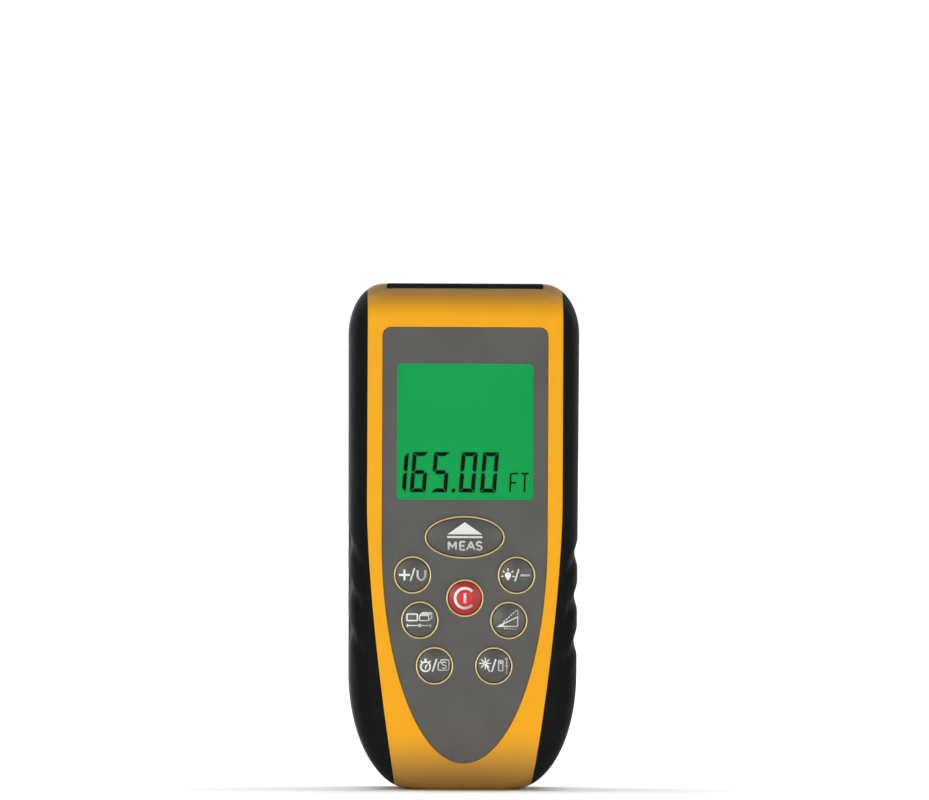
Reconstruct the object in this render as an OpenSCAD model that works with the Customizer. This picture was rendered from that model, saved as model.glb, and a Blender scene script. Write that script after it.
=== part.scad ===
// Hand-held laser distance meter, standing on its rear reference face.
// Front towards -Y, width along X, length along +Z, origin at the middle of the foot.

/* [Body] */
// Length from the rear reference face to the top of the end plate
body_l = 118; // [117:0.5:121]
// Greatest width, over the grips
body_w = 53.4; // [53:0.2:56]
// Depth from the tops of the keys to the back
body_d = 28; // [28:0.5:30]
// Half the width of the flat top edge
top_flat = 18.7; // [18.6:0.1:19.4]
// Half the width of the flat bottom edge
foot_flat = 12; // [11:0.5:13]
// Height over which the lower end narrows
taper_h = 27; // [25:1:29]
// Height over which the top corners round off
shoulder_h = 12; // [11:0.5:13]
// Height over which the front face rolls over the top end
head_roll = 10; // [9:0.5:11]
// Height over which the front face rolls under the foot
foot_roll = 16; // [14:1:18]
// Depth of both rolls
roll_d = 7; // [6:0.5:8]
// Thickness of the soft grips
grip_t = 1.8; // [1.6:0.1:2]
// Thickness of the housing walls under the grips
wall_t = 1.7; // [1.6:0.1:1.9]
// Thickness of the back wall
back_t = 2; // [1.8:0.1:2.4]

/* [Strap of the front housing] */
// Half width of the strap above its taper
strap_half = 22.75; // [22.4:0.05:23]
// Height at which the strap starts to narrow
strap_taper_z = 66; // [62:1:70]

/* [Face panel] */
// Half width of the panel
panel_half = 19.3; // [19:0.1:19.6]
// Height of the panel's top edge
panel_top = 107.8; // [107:0.1:108]
// Height at which the elliptical lower end starts
panel_mid = 58.2; // [57:0.1:60]
// Height of the panel's lowest point
panel_foot = 6.2; // [5.5:0.1:8]
// Thickness of the panel
panel_t = 1.6; // [1.4:0.1:1.7]
// How far the panel lies below the strap
panel_recess = 0.3; // [0.2:0.1:0.4]

/* [Display] */
// Width of the display window
lcd_w = 32; // [31:0.1:32.4]
// Height of the display window
lcd_h = 31.6; // [31:0.1:32]
// Height of the middle of the display
lcd_z = 83.5; // [83.3:0.1:84]

/* [Keys] */
// Diameter over the trim ring of a round key
key_d = 8.7; // [8.4:0.1:8.9]
// Width over the trim ring of the oval measure key
oval_w = 18.6; // [18:0.1:19]
// Height over the trim ring of the oval measure key
oval_h = 9.9; // [9.6:0.1:10]
// Height of the middle of the oval key
oval_z = 58.9; // [58.5:0.1:59]
// Width of the trim ring's rim
ring_t = 0.45; // [0.4:0.05:0.5]
// Travel of every key
key_travel = 0.6; // [0.4:0.1:0.6]
// How far the key tops stand above the strap
key_proud = 0.5; // [0.4:0.1:0.6]

/* [Battery bay] */
// Diameter of a size AAA cell
cell_d = 10.5; // [10.2:0.1:10.5]
// Length of a size AAA cell over its button
cell_l = 44.5; // [43.5:0.1:44.5]
// Half the width of the battery door
door_half = 14; // [13.5:0.5:14]
// Height of the door's hinge axis
hinge_z = 14; // [14:0.1:14.2]
// Height of the door's upper edge
door_top = 70.2; // [69.8:0.1:70.4]
// Thickness of the door
door_t = 1.6; // [1.5:0.1:1.7]

/* [Tripod bush] */
// Wall radius of the 1/4 inch - 20 thread
thread_r = 2.55; // [2.5:0.01:2.6]
// Length of the thread
thread_l = 8; // [6:0.5:8]
// Height of the bush's axis
bush_z = 84; // [83.5:0.1:84]

/* [Hidden] */
$fn = 48;
eps = 0.05;

// Levels from the front to the back
front_y = key_proud - body_d / 2;
panel_y = front_y + panel_recess;
floor_y = panel_y + panel_t;
shell_t = grip_t + wall_t;
cavity_y = front_y + shell_t;
parts_gap = 0.2;
flange_y = cavity_y + parts_gap;
flange_t = 0.7;
mat_y = flange_y + flange_t + key_travel + parts_gap;
mat_t = 0.7;
dome_t = 0.5;
board_y = mat_y + mat_t + dome_t;
board_t = 1.2;
board_back = board_y + board_t;
back_y = body_d / 2;

// Rounding of the outer form
foot_rx = body_w / 2 - 0.3 - foot_flat;
shoulder_rx = body_w / 2 - top_flat;
back_r = 5;
plan_rx = 6;
plan_ry = 5;
grip_back = 9;
strap_narrowing = 0.011;
strap_power = 1.54;

// Keys: the middle of each round key, [x, z]
power_at = [0.1, 44.75];
plus_at = [-12.1, 50.1];
light_at = [12.1, 50.1];
area_at = [-10.35, 39.6];
indirect_at = [10.35, 39.6];
timer_at = [-6.9, 29];
laser_at = [6.9, 29];
round_keys = [power_at, plus_at, light_at, area_at, indirect_at, timer_at, laser_at];
key_clear = 0.15;
key_r = key_d / 2 - ring_t - key_clear;
oval_rx = oval_w / 2 - ring_t - key_clear;
oval_rz = oval_h / 2 - ring_t - key_clear;
flange_w = 0.95;
dome_rise = 0.5;

// Screws
boss_at = [[-19.5, 105], [19.5, 105], [-18.6, 36], [18.6, 36]];
post_at = [[-12.5, 106], [12.5, 106], [-12.5, 19.5], [12.5, 19.5]];
screw_r = 1.1;
head_r = 2.3;
head_y = 6.4;
well_r = 2.8;

// Optics in the top end
plate_half = 18.4;
plate_d = 9.8;
plate_t = 2.1;
seal_t = 0.5;
plate_z = body_l - plate_t;
laser_y = 2.3;
receiver_x = 9.4;
chassis_x = [-6, 15.9];
chassis_y = [-4.6, 9.4];
chassis_z = 91.5;
laser_r = 2.9;
receiver_r = 5.6;

// Battery bay
bay_half = 11.6;
bay_z = [15.6, 66];
bay_floor = 1;
bay_wall = 1.2;
bay_rim = 16;
cell_y = 6.45;
cell_x = 5.5;
plate_metal = 0.4;
spring_l = bay_z[1] - bay_z[0] - 2 * plate_metal - cell_l;
hinge_r = 1.1;
hinge_y = back_y - hinge_r;
hinge_pin_r = 0.7;
door_gap = 0.15;
latch_half = 4.5;
latch_z = 65.2;

// Grip notches: their heights on each side, radius and depth
left_notches = [57, 47.1, 36.8];
right_notches = [55.4, 45.4, 34.9];
notch_r = 6;

// Mirrors a right-hand half outline, listed from the bottom up, to a closed one
function both_sides(p) = concat(p, [for (i = [len(p) - 1:-1:0]) [-p[i][0], p[i][1]]]);

// Right half of the body's front outline, inset by t: an elliptical foot and shoulder
function front_half(t) = concat(
    [for (a = [-90:9:0]) [foot_flat + (foot_rx - t) * cos(a), taper_h + (taper_h - t) * sin(a)]],
    [for (a = [0:15:90]) [top_flat + (shoulder_rx - t) * cos(a),
        body_l - shoulder_h + (shoulder_h - t) * sin(a)]]);

// Side outline [y, z], inset by t in front and at the ends and by tb at the back
function side_outline(t, tb) = concat(
    [for (a = [270:-10:180]) [front_y + roll_d + (roll_d - t) * cos(a), foot_roll + (foot_roll - t) * sin(a)]],
    [for (a = [180:-10:90]) [front_y + roll_d + (roll_d - t) * cos(a),
        body_l - head_roll + (head_roll - t) * sin(a)]],
    [for (a = [90:-18:0]) [back_y - back_r + (back_r - tb) * cos(a), body_l - back_r + (back_r - t) * sin(a)]],
    [for (a = [0:-18:-90]) [back_y - back_r + (back_r - tb) * cos(a), back_r + (back_r - t) * sin(a)]]);

// Right half of the plan section [x, y], inset by t at the sides and front and by tb at the back
function plan_half(t, tb) = concat(
    [for (a = [-90:15:0]) [body_w / 2 - plan_rx + (plan_rx - t) * cos(a), front_y + plan_ry + (plan_ry - t) * sin(a)]],
    [for (a = [0:15:90]) [body_w / 2 - plan_rx + (plan_rx - t) * cos(a), back_y - plan_rx + (plan_rx - tb) * sin(a)]]);

// Half width of the strap at height z
function strap(z) = strap_half - (z < strap_taper_z ? strap_narrowing * pow(strap_taper_z - z, strap_power) : 0);
function strap_side() = concat([for (z = [-6:8:strap_taper_z]) [strap(z), z]],
    [[strap_half, strap_taper_z], [strap_half, body_l + 2]]);

// Right half of the panel outline, grown by g: straight sides over a half ellipse
function panel_side(g) = concat(
    [for (a = [-90:7.5:0]) [(panel_half + g) * cos(a), panel_mid + (panel_mid - panel_foot + g) * sin(a)]],
    [for (a = [0:30:90]) [panel_half - 2 + (2 + g) * cos(a), panel_top - 2 + (2 + g) * sin(a)]]);

function ellipse(rx, ry) = [for (a = [0:10:350]) [rx * cos(a), ry * sin(a)]];

// Extrudes a front-view outline [x, z] from y0 to y1
module along_y(y0, y1) translate([0, y1, 0]) rotate([90, 0, 0]) linear_extrude(y1 - y0) children();

// A cylinder along Y from y0 to y1 at [x, z]
module rod_y(at, r, y0, y1) translate([at[0], y0, at[1]]) rotate([-90, 0, 0]) cylinder(r = r, h = y1 - y0);

// A box given by its limits along X, Y and Z
module block(x, y, z) translate([x[0], y[0], z[0]]) cube([x[1] - x[0], y[1] - y[0], z[1] - z[0]]);

module body_solid(t, tb) intersection() {
    along_y(-body_d, body_d) polygon(both_sides(front_half(t)));
    rotate([90, 0, 90]) linear_extrude(body_w + 2, center = true) polygon(side_outline(t, tb));
    translate([0, 0, -1]) linear_extrude(body_l + 2) polygon(both_sides(plan_half(t, tb)));
}

module front_space() block([-body_w, body_w], [-body_d, 0], [-1, body_l + 1]);
module rear_space() block([-body_w, body_w], [0, body_d], [-1, body_l + 1]);
module strap_space() along_y(-body_d, body_d) polygon(both_sides(strap_side()));
module cavity() body_solid(shell_t, back_t);

module rounded_plate(x, y, r, h) linear_extrude(h) {
    square([2 * (x - r), 2 * y], center = true);
    square([2 * x, 2 * (y - r)], center = true);
    for (i = [-1, 1], j = [-1, 1]) translate([i * (x - r), j * (y - r)]) circle(r);
}

// Holes for every key through y0 to y1, widened by g beyond the key caps
module key_holes(g, y0, y1) {
    for (k = round_keys) rod_y(k, key_r + g, y0, y1);
    translate([0, 0, oval_z]) along_y(y0, y1) polygon(ellipse(oval_rx + g, oval_rz + g));
}

module lcd_block(dx, dz, y0, y1)
    block([-lcd_w / 2 - dx, lcd_w / 2 + dx], [y0, y1], [lcd_z - lcd_h / 2 - dz, lcd_z + lcd_h / 2 + dz]);

module end_plate_space(g) translate([0, 0, plate_z - seal_t])
    rounded_plate(plate_half + g, plate_d + g, 2.5, plate_t + seal_t + 1);

module chassis_space(g)
    block(chassis_x + [-g, g], chassis_y + [-g, g], [chassis_z, plate_z - seal_t]);

module gasket_space() along_y(-0.5, 0.5) difference() {
    polygon(both_sides(front_half(shell_t - 1)));
    polygon(both_sides(front_half(shell_t - 0.4)));
    translate([-body_w, body_l - shoulder_h]) square([2 * body_w, body_l]);
}

module front_housing() color([0.98, 0.69, 0.11]) difference() {
    union() {
        difference() {
            union() {
                intersection() { body_solid(0, 0); strap_space(); front_space(); }
                intersection() { body_solid(grip_t, grip_t); front_space(); }
            }
            cavity();
        }
        for (b = boss_at) rod_y(b, 2.9, cavity_y - eps, 0);
        for (p = post_at) rod_y(p, 2, cavity_y - eps, board_y);
    }
    difference() {
        along_y(-body_d, front_y + roll_d) polygon(both_sides(panel_side(0)));
        body_solid(panel_recess + panel_t, 0);
    }
    key_holes(key_clear, floor_y - 1, cavity_y + 1);
    lcd_block(1.6, 1.6, floor_y - 1, cavity_y + 1);
    for (b = boss_at) rod_y(b, screw_r, cavity_y + 2, 1);
    for (p = post_at) rod_y(p, 0.8, cavity_y + 0.5, board_y + 1);
    end_plate_space(0);
    chassis_space(0.1);
    gasket_space();
}

module rear_housing() color([0.13, 0.14, 0.14]) difference() {
    union() {
        difference() {
            union() {
                intersection() { body_solid(0, 0); strap_space(); rear_space(); }
                intersection() { body_solid(grip_t, 0); rear_space(); }
                intersection() { body_solid(0, 0); block([-body_w, body_w], [grip_back, body_d], [-1, body_l + 1]); }
            }
            cavity();
        }
        block([-bay_half - bay_wall, bay_half + bay_wall], [0, back_y - back_t + eps],
            [bay_z[0] - bay_wall, bay_z[1] + bay_wall]);
        block([-bay_rim, bay_rim], [back_y - 4.2, back_y - back_t + eps], [11, 72.5]);
        for (b = boss_at) rod_y(b, well_r + 0.5, 0, back_y - back_t + eps);
        rod_y([0, bush_z], 6, 4.5, back_y - back_t + eps);
    }
    block([-bay_half, bay_half], [bay_floor, back_y + 1], bay_z);
    block([-door_half - 0.2, door_half + 0.2], [back_y - door_t - parts_gap, back_y + 1],
        [hinge_z, door_top + 0.2]);
    block([-door_half - 0.2, door_half + 0.2], [hinge_y - hinge_r - 0.2, back_y + 1],
        [hinge_z - hinge_r - door_gap, hinge_z + hinge_r + door_gap]);
    block([-latch_half - 0.5, latch_half + 0.5], [back_y - 3.2, back_y + 1], [bay_z[1] - 1, door_top + 0.2]);
    translate([0, back_y + 4.5, door_top + 0.2]) rotate([0, 90, 0])
        cylinder(r = 5.5, h = 9, center = true);
    translate([0, hinge_y, hinge_z]) rotate([0, 90, 0])
        cylinder(r = hinge_pin_r + 0.05, h = 2 * door_half + 2.8, center = true);
    for (b = boss_at) {
        rod_y(b, screw_r + 0.3, -1, head_y + eps);
        rod_y(b, well_r, head_y, back_y + 1);
    }
    rod_y([0, bush_z], 4.6, back_y - thread_l - 0.9, back_y + 1);
    block([-14, 14], [back_y - 0.3, back_y + 1], [93, 109]);
    end_plate_space(0);
    chassis_space(0.1);
    gasket_space();
}

// A soft grip on the side given by s: -1 left, 1 right
module grip(s, notches, depth) color([0.09, 0.1, 0.09]) difference() {
    intersection() {
        body_solid(0, 0);
        block(s > 0 ? [0, body_w] : [-body_w, 0], [-body_d, grip_back], [-1, body_l + 1]);
    }
    body_solid(grip_t, 0);
    strap_space();
    for (z = notches) translate([s * (body_w / 2 - 0.2 + notch_r - depth), 0, z]) rotate([90, 0, 0])
        cylinder(r = notch_r, h = 2 * body_d, center = true);
}
module left_grip() grip(-1, left_notches, 0.45);
module right_grip() grip(1, right_notches, 0.6);

module face_panel() color([0.37, 0.37, 0.35]) difference() {
    intersection() {
        body_solid(panel_recess, 0);
        along_y(-body_d, front_y + roll_d) polygon(both_sides(panel_side(0)));
    }
    body_solid(panel_recess + panel_t, 0);
    key_holes(key_clear + ring_t, panel_y - 1, floor_y + 1);
    lcd_block(0.1, 0.1, panel_y - 1, floor_y + 1);
}

module display_window() color([0.6, 0.9, 0.75, 0.4]) {
    lcd_block(0, 0, panel_y + 0.1, floor_y + eps);
    lcd_block(1.5, 1.5, floor_y, floor_y + 0.8);
}
module lcd_module() color([0.07, 0.65, 0.32]) lcd_block(1.3, 1.3, floor_y + 0.9, cavity_y + 1.5);
module backlight_panel() color([0.9, 0.95, 0.9]) lcd_block(1.3, 1.3, cavity_y + 1.6, board_y - 0.1);
module lcd_holder() color([0.85, 0.85, 0.82]) difference() {
    lcd_block(2.3, 2.4, cavity_y + 0.1, board_y);
    lcd_block(1.4, 1.4, cavity_y - 1, board_y + 1);
    block([-7, 7], [-body_d, 0], [lcd_z + lcd_h / 2, body_l]);
}
module lcd_flex() color([0.75, 0.45, 0.12]) {
    block([-6, 6], [cavity_y + 0.4, cavity_y + 0.65], [lcd_z + lcd_h / 2 + 1.4, 103.4]);
    block([-6, 6], [cavity_y + 0.4, board_y], [103.15, 103.4]);
}

// A round key: domed cap, with a flange that stops it under the housing floor
module round_key(at) translate([at[0], 0, at[1]]) {
    dome_r = (key_r * key_r + dome_rise * dome_rise) / (2 * dome_rise);
    intersection() {
        rod_y([0, 0], key_r, -body_d, flange_y + flange_t);
        translate([0, dome_r - body_d / 2, 0]) sphere(dome_r, $fn = 96);
    }
    rod_y([0, 0], key_r + flange_w, flange_y, flange_y + flange_t);
}
module measure_key() color([0.35, 0.35, 0.35]) translate([0, 0, oval_z]) {
    crown_r = (oval_rz * oval_rz + dome_rise * dome_rise) / (2 * dome_rise);
    intersection() {
        along_y(-body_d, flange_y + flange_t) polygon(ellipse(oval_rx, oval_rz));
        translate([0, crown_r - body_d / 2, 0]) rotate([0, 90, 0])
            cylinder(r = crown_r, h = 2 * oval_w, center = true);
    }
    along_y(flange_y, flange_y + flange_t) polygon(ellipse(oval_rx + flange_w, oval_rz + flange_w));
}
module power_key() color([0.85, 0.1, 0.1]) round_key(power_at);
module plus_units_key() color([0.35, 0.35, 0.35]) round_key(plus_at);
module light_minus_key() color([0.35, 0.35, 0.35]) round_key(light_at);
module area_volume_key() color([0.35, 0.35, 0.35]) round_key(area_at);
module indirect_key() color([0.35, 0.35, 0.35]) round_key(indirect_at);
module timer_store_key() color([0.35, 0.35, 0.35]) round_key(timer_at);
module laser_reference_key() color([0.35, 0.35, 0.35]) round_key(laser_at);

module key_trim_rings() color([0.84, 0.78, 0.55]) difference() {
    key_holes(key_clear + ring_t, front_y - 0.25, floor_y);
    key_holes(key_clear, front_y - 1, floor_y + 1);
}

// Silicone mat under all the keys
module keypad_mat() color([0.8, 0.8, 0.78]) along_y(mat_y, mat_y + mat_t)
    polygon(both_sides([[12.5, 24], [17, 44], [17, 64.8]]));
module dome_switches() color([0.75, 0.75, 0.72]) {
    for (k = round_keys) rod_y(k, 2.5, board_y - dome_t, board_y);
    rod_y([0, oval_z], 2.5, board_y - dome_t, board_y);
}

module main_board() color([0.05, 0.35, 0.18]) difference() {
    along_y(board_y, board_back)
        polygon(both_sides([[15, 12.5], [15, 42], [19, 44], [19, 99], [15, 101], [15, 112]]));
    for (p = post_at) rod_y(p, 0.8, board_y - 1, board_back + 1);
}
module main_chips() color([0.1, 0.1, 0.11]) {
    chip_y = [board_back, board_back + 1];
    block([-11, -2], chip_y, [55, 64]);
    block([3, 9], chip_y, [56, 62]);
    block([5, 10], chip_y, [28, 32]);
    block([-10, -6], chip_y, [30, 36]);
    block([-4, 1], chip_y, [44, 46.5]);
    for (z = [93, 97, 101]) block([-13, -9], chip_y, [z, z + 2.4]);
}
module board_screws() color([0.7, 0.7, 0.7]) for (p = post_at) {
    rod_y(p, 0.8, cavity_y + 0.5, board_back);
    rod_y(p, 1.7, board_back, board_back + 1);
}
module buzzer() color([0.12, 0.12, 0.13]) difference() {
    rod_y([0, 76], 6, board_back, board_back + 3);
    rod_y([0, 76], 1, board_back + 2, board_back + 4);
}

module optics_chassis() color([0.6, 0.62, 0.64]) difference() {
    chassis_space(0);
    translate([0, laser_y, chassis_z + 2]) cylinder(r = laser_r, h = 40);
    translate([receiver_x, laser_y, chassis_z - eps]) cylinder(r1 = 2.4, r2 = 5, h = 18.5 + eps);
    translate([receiver_x, laser_y, chassis_z + 18.4]) cylinder(r = receiver_r, h = 20);
}
module laser_module() color([0.8, 0.65, 0.3]) translate([0, laser_y, chassis_z + 2]) difference() {
    cylinder(r = laser_r, h = 20);
    translate([0, 0, 4]) cylinder(r = 1.2, h = 20);
    translate([0, 0, 18.5]) cylinder(r = 2.4, h = 5);
}
module laser_lens() color([0.8, 0.85, 0.9, 0.5])
    translate([0, laser_y, chassis_z + 20.5]) cylinder(r = 2.4, h = 1.2);
// Biconvex condenser lens
module receiver_lens() color([0.8, 0.85, 0.9, 0.5])
    translate([receiver_x, laser_y, chassis_z + 20]) intersection() {
        cylinder(r = receiver_r, h = 3, center = true);
        translate([0, 0, -12]) sphere(13.6, $fn = 96);
        translate([0, 0, 12]) sphere(13.6, $fn = 96);
    }
module detector() color([0.8, 0.75, 0.5]) translate([receiver_x, laser_y, chassis_z]) cylinder(r = 2.1, h = 2.4);
module detector_board() color([0.05, 0.35, 0.18])
    block([receiver_x - 6, receiver_x + 6], [-4.4, 9.2], [chassis_z - 1, chassis_z]);

module end_plate() color([0.07, 0.09, 0.11]) difference() {
    translate([0, 0, plate_z]) rounded_plate(plate_half, plate_d, 2.5, plate_t);
    translate([0, laser_y, plate_z - 1]) cylinder(r = 2.3, h = 5);
    translate([0, laser_y, body_l - 1.3]) cylinder(r = 2.8, h = 5);
    translate([receiver_x, laser_y, plate_z - 1]) cylinder(r = 5.3, h = 5);
    translate([receiver_x, laser_y, body_l - 1.3]) cylinder(r = 5.9, h = 5);
}
module end_plate_seal() color([0.1, 0.1, 0.1]) translate([0, 0, plate_z - seal_t]) difference() {
    rounded_plate(plate_half, plate_d, 2.5, seal_t);
    translate([0, 0, -1]) rounded_plate(plate_half - 1.2, plate_d - 0.8, 1.5, 3);
}
module laser_window() color([0.85, 0.3, 0.3, 0.5])
    translate([0, laser_y, body_l - 1.3]) cylinder(r = 2.8, h = 0.9);
module receiver_window() color([0.5, 0.15, 0.15, 0.5])
    translate([receiver_x, laser_y, body_l - 1.3]) cylinder(r = 5.9, h = 0.9);

module case_gasket() color([0.15, 0.15, 0.15]) gasket_space();
// Pan-head screws from the back into the front housing's bosses
module case_screws() color([0.75, 0.75, 0.75]) for (b = boss_at) {
    rod_y(b, screw_r, cavity_y + 2, head_y + eps);
    difference() {
        rod_y(b, head_r, head_y, head_y + 1.7);
        for (a = [0, 90]) translate([b[0], head_y + 1.7, b[1]]) rotate([0, a, 0])
            cube([2.6, 1.4, 0.5], center = true);
    }
}
module tripod_bush() color([0.8, 0.68, 0.35]) difference() {
    rod_y([0, bush_z], 4.6, back_y - thread_l - 0.9, back_y - 0.1);
    rod_y([0, bush_z], thread_r, back_y - thread_l - 0.1, back_y + 1);
}
module rear_label() color([0.75, 0.76, 0.77])
    block([-14, 14], [back_y - 0.3, back_y], [93, 109]);

// Battery door: a plate that ends below in a round hinge barrel with two stub pins
module battery_door() color([0.13, 0.14, 0.14]) difference() {
    union() {
        block([-door_half, door_half], [back_y - door_t, back_y], [hinge_z, door_top]);
        translate([0, hinge_y, hinge_z]) rotate([0, 90, 0]) {
            cylinder(r = hinge_r, h = 2 * door_half, center = true);
            cylinder(r = hinge_pin_r, h = 2 * door_half + 2.4, center = true);
        }
    }
    block([-latch_half - 0.3, latch_half + 0.3], [back_y - 5, back_y + 1],
        [latch_z - door_t / 2 - door_gap, body_l]);
}
// Finger latch: a tab that tips inwards about its rounded root
module door_latch() color([0.16, 0.17, 0.17]) {
    block([-latch_half, latch_half], [back_y - door_t, back_y], [latch_z, door_top]);
    translate([0, back_y - door_t / 2, latch_z]) rotate([0, 90, 0])
        cylinder(r = door_t / 2, h = 2 * latch_half, center = true);
}

// A size AAA cell standing on z0, its button at the end given by up
module cell(x, z0, up) translate([x, cell_y, z0]) {
    translate([0, 0, up ? 0 : 1]) cylinder(r = cell_d / 2, h = cell_l - 1);
    translate([0, 0, up ? cell_l - 1.05 : 0]) cylinder(r = 1.9, h = 1.05);
}
module battery_left() color([0.72, 0.5, 0.2]) cell(-cell_x, bay_z[0] + plate_metal + spring_l, true);
module battery_right() color([0.72, 0.5, 0.2]) cell(cell_x, bay_z[0] + plate_metal, false);
module contact_springs() color([0.8, 0.8, 0.8]) {
    translate([-cell_x, cell_y, bay_z[0] + plate_metal]) cylinder(r1 = 4, r2 = 2.6, h = spring_l);
    translate([cell_x, cell_y, bay_z[1] - plate_metal - spring_l]) cylinder(r1 = 2.6, r2 = 4, h = spring_l);
}
module contact_plates() color([0.8, 0.8, 0.8]) {
    block([-cell_x - 4.5, cell_x + 4.5], [bay_floor, 11.2], [bay_z[0], bay_z[0] + plate_metal]);
    for (s = [-1, 1]) block([s * cell_x - 4.5, s * cell_x + 4.5], [bay_floor, 11.2],
        [bay_z[1] - plate_metal, bay_z[1]]);
}

front_housing();
rear_housing();
left_grip();
right_grip();
face_panel();
display_window();
lcd_module();
backlight_panel();
lcd_holder();
lcd_flex();
measure_key();
power_key();
plus_units_key();
light_minus_key();
area_volume_key();
indirect_key();
timer_store_key();
laser_reference_key();
key_trim_rings();
keypad_mat();
dome_switches();
main_board();
main_chips();
board_screws();
buzzer();
optics_chassis();
laser_module();
laser_lens();
receiver_lens();
detector();
detector_board();
end_plate();
end_plate_seal();
laser_window();
receiver_window();
case_gasket();
case_screws();
tripod_bush();
rear_label();
battery_door();
door_latch();
battery_left();
battery_right();
contact_springs();
contact_plates();
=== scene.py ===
import math

import bmesh
import bpy
import numpy as np
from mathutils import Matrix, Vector


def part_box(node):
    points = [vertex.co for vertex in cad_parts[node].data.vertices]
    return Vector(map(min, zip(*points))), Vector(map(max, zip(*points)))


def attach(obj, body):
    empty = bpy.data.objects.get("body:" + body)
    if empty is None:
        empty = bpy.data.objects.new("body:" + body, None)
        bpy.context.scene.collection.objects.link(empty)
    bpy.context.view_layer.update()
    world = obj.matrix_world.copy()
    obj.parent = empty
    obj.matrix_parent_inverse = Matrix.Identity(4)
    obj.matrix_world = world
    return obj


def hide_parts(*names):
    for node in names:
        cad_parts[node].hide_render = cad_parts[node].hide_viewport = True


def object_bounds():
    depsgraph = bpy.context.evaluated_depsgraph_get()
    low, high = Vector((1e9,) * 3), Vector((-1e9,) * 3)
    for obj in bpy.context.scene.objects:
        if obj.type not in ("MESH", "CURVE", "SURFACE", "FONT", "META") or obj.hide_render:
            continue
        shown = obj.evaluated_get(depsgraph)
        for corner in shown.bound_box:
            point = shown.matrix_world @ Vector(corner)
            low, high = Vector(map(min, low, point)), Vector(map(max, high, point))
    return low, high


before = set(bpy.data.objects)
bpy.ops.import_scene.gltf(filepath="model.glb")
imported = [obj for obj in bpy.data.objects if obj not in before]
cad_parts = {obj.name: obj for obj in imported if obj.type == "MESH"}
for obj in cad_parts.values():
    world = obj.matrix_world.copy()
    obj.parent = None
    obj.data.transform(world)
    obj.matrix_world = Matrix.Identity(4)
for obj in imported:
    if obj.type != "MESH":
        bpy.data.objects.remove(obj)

cad_low, cad_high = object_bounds()

# ---- Camera, floor and studio light ----
# A long lens looks level at the keypad face from a touch to its left. Two softboxes stand in
# front, one hangs above, two light the edges from behind, and one washes the paper backdrop.

lens = 400.0
sensor = 36.0
view_width = 0.2160
view_height_z = 0.09083
view_x = 0.0003
lean = math.radians(-0.26)
from_left = math.radians(2.1)
scene = bpy.context.scene
scene.view_settings.view_transform = "Standard"

camera = bpy.data.objects.new("camera", bpy.data.cameras.new("camera"))
scene.collection.objects.link(camera)
camera.data.lens = lens
camera.data.sensor_width = sensor
reach = view_width * lens / sensor - cad_low.y
camera.location = (view_x - reach * math.sin(from_left), -reach * math.cos(from_left), view_height_z)
camera.rotation_euler = (math.pi / 2, lean, -from_left)
camera.data.clip_start = 0.01
camera.data.clip_end = 50
scene.camera = camera


def softbox(name, place, aim, size, power, colour=(1, 1, 1)):
    """A rectangular area light at place, turned to face aim, with its size in metres."""
    light = bpy.data.lights.new(name, "AREA")
    light.shape = "RECTANGLE"
    light.size, light.size_y = size
    light.energy = power
    light.color = colour
    holder = bpy.data.objects.new(name, light)
    scene.collection.objects.link(holder)
    holder.location = place
    way = Vector(aim) - holder.location
    holder.rotation_euler = way.to_track_quat("-Z", "Y").to_euler()


mid_body = (0, 0, 0.06)
softbox("left_light", (-0.55, -1.6, 0.22), mid_body, (0.6, 0.6), 7.8)
softbox("right_light", (0.65, -1.6, 0.16), mid_body, (0.6, 0.6), 6.2)
softbox("top_light", (0, -0.9, 0.75), mid_body, (0.8, 0.3), 1.0)
softbox("left_edge_light", (-1.1, 0.7, 0.5), mid_body, (0.5, 0.8), 5.0)
softbox("right_edge_light", (1.1, 0.7, 0.5), mid_body, (0.5, 0.8), 5.0)
softbox("backdrop_light", (0, 0.2, 2.2), (0, 2.75, 0.5), (3.0, 0.8), 90)

world = bpy.data.worlds.new("studio")
scene.world = world
world.use_nodes = True
sky = world.node_tree
sky.nodes["Background"].inputs["Color"].default_value = (0.8, 0.82, 0.85, 1)
sky.nodes["Background"].inputs["Strength"].default_value = 0.15
seen = sky.nodes.new("ShaderNodeBackground")
seen.inputs["Color"].default_value = (0.98, 0.98, 0.98, 1)
path = sky.nodes.new("ShaderNodeLightPath")
blend = sky.nodes.new("ShaderNodeMixShader")
sky.links.new(path.outputs["Is Camera Ray"], blend.inputs[0])
sky.links.new(sky.nodes["Background"].outputs[0], blend.inputs[1])
sky.links.new(seen.outputs[0], blend.inputs[2])
sky.links.new(blend.outputs[0], sky.nodes["World Output"].inputs["Surface"])


class Wire:
    """A shader socket that takes part in arithmetic: every operator adds one Math node."""

    def __init__(self, finish, socket):
        self.finish, self.socket = finish, socket

    def math(self, operation, *values):
        """One Math node on up to three values or sockets."""
        inputs = dict(enumerate(values))
        return self.finish.node("ShaderNodeMath", {"operation": operation}, inputs)

    def __add__(self, other):
        return self.math("ADD", self, other)

    def __radd__(self, other):
        return self.math("ADD", other, self)

    def __sub__(self, other):
        return self.math("SUBTRACT", self, other)

    def __rsub__(self, other):
        return self.math("SUBTRACT", other, self)

    def __mul__(self, other):
        return self.math("MULTIPLY", self, other)

    def __rmul__(self, other):
        return self.math("MULTIPLY", other, self)

    def over(self, low, high):
        """0 below low and 1 above high, with a smooth rise between them."""
        settings = {"interpolation_type": "SMOOTHSTEP"}
        return self.finish.node("ShaderNodeMapRange", settings, {0: self, 1: low, 2: high})


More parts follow.
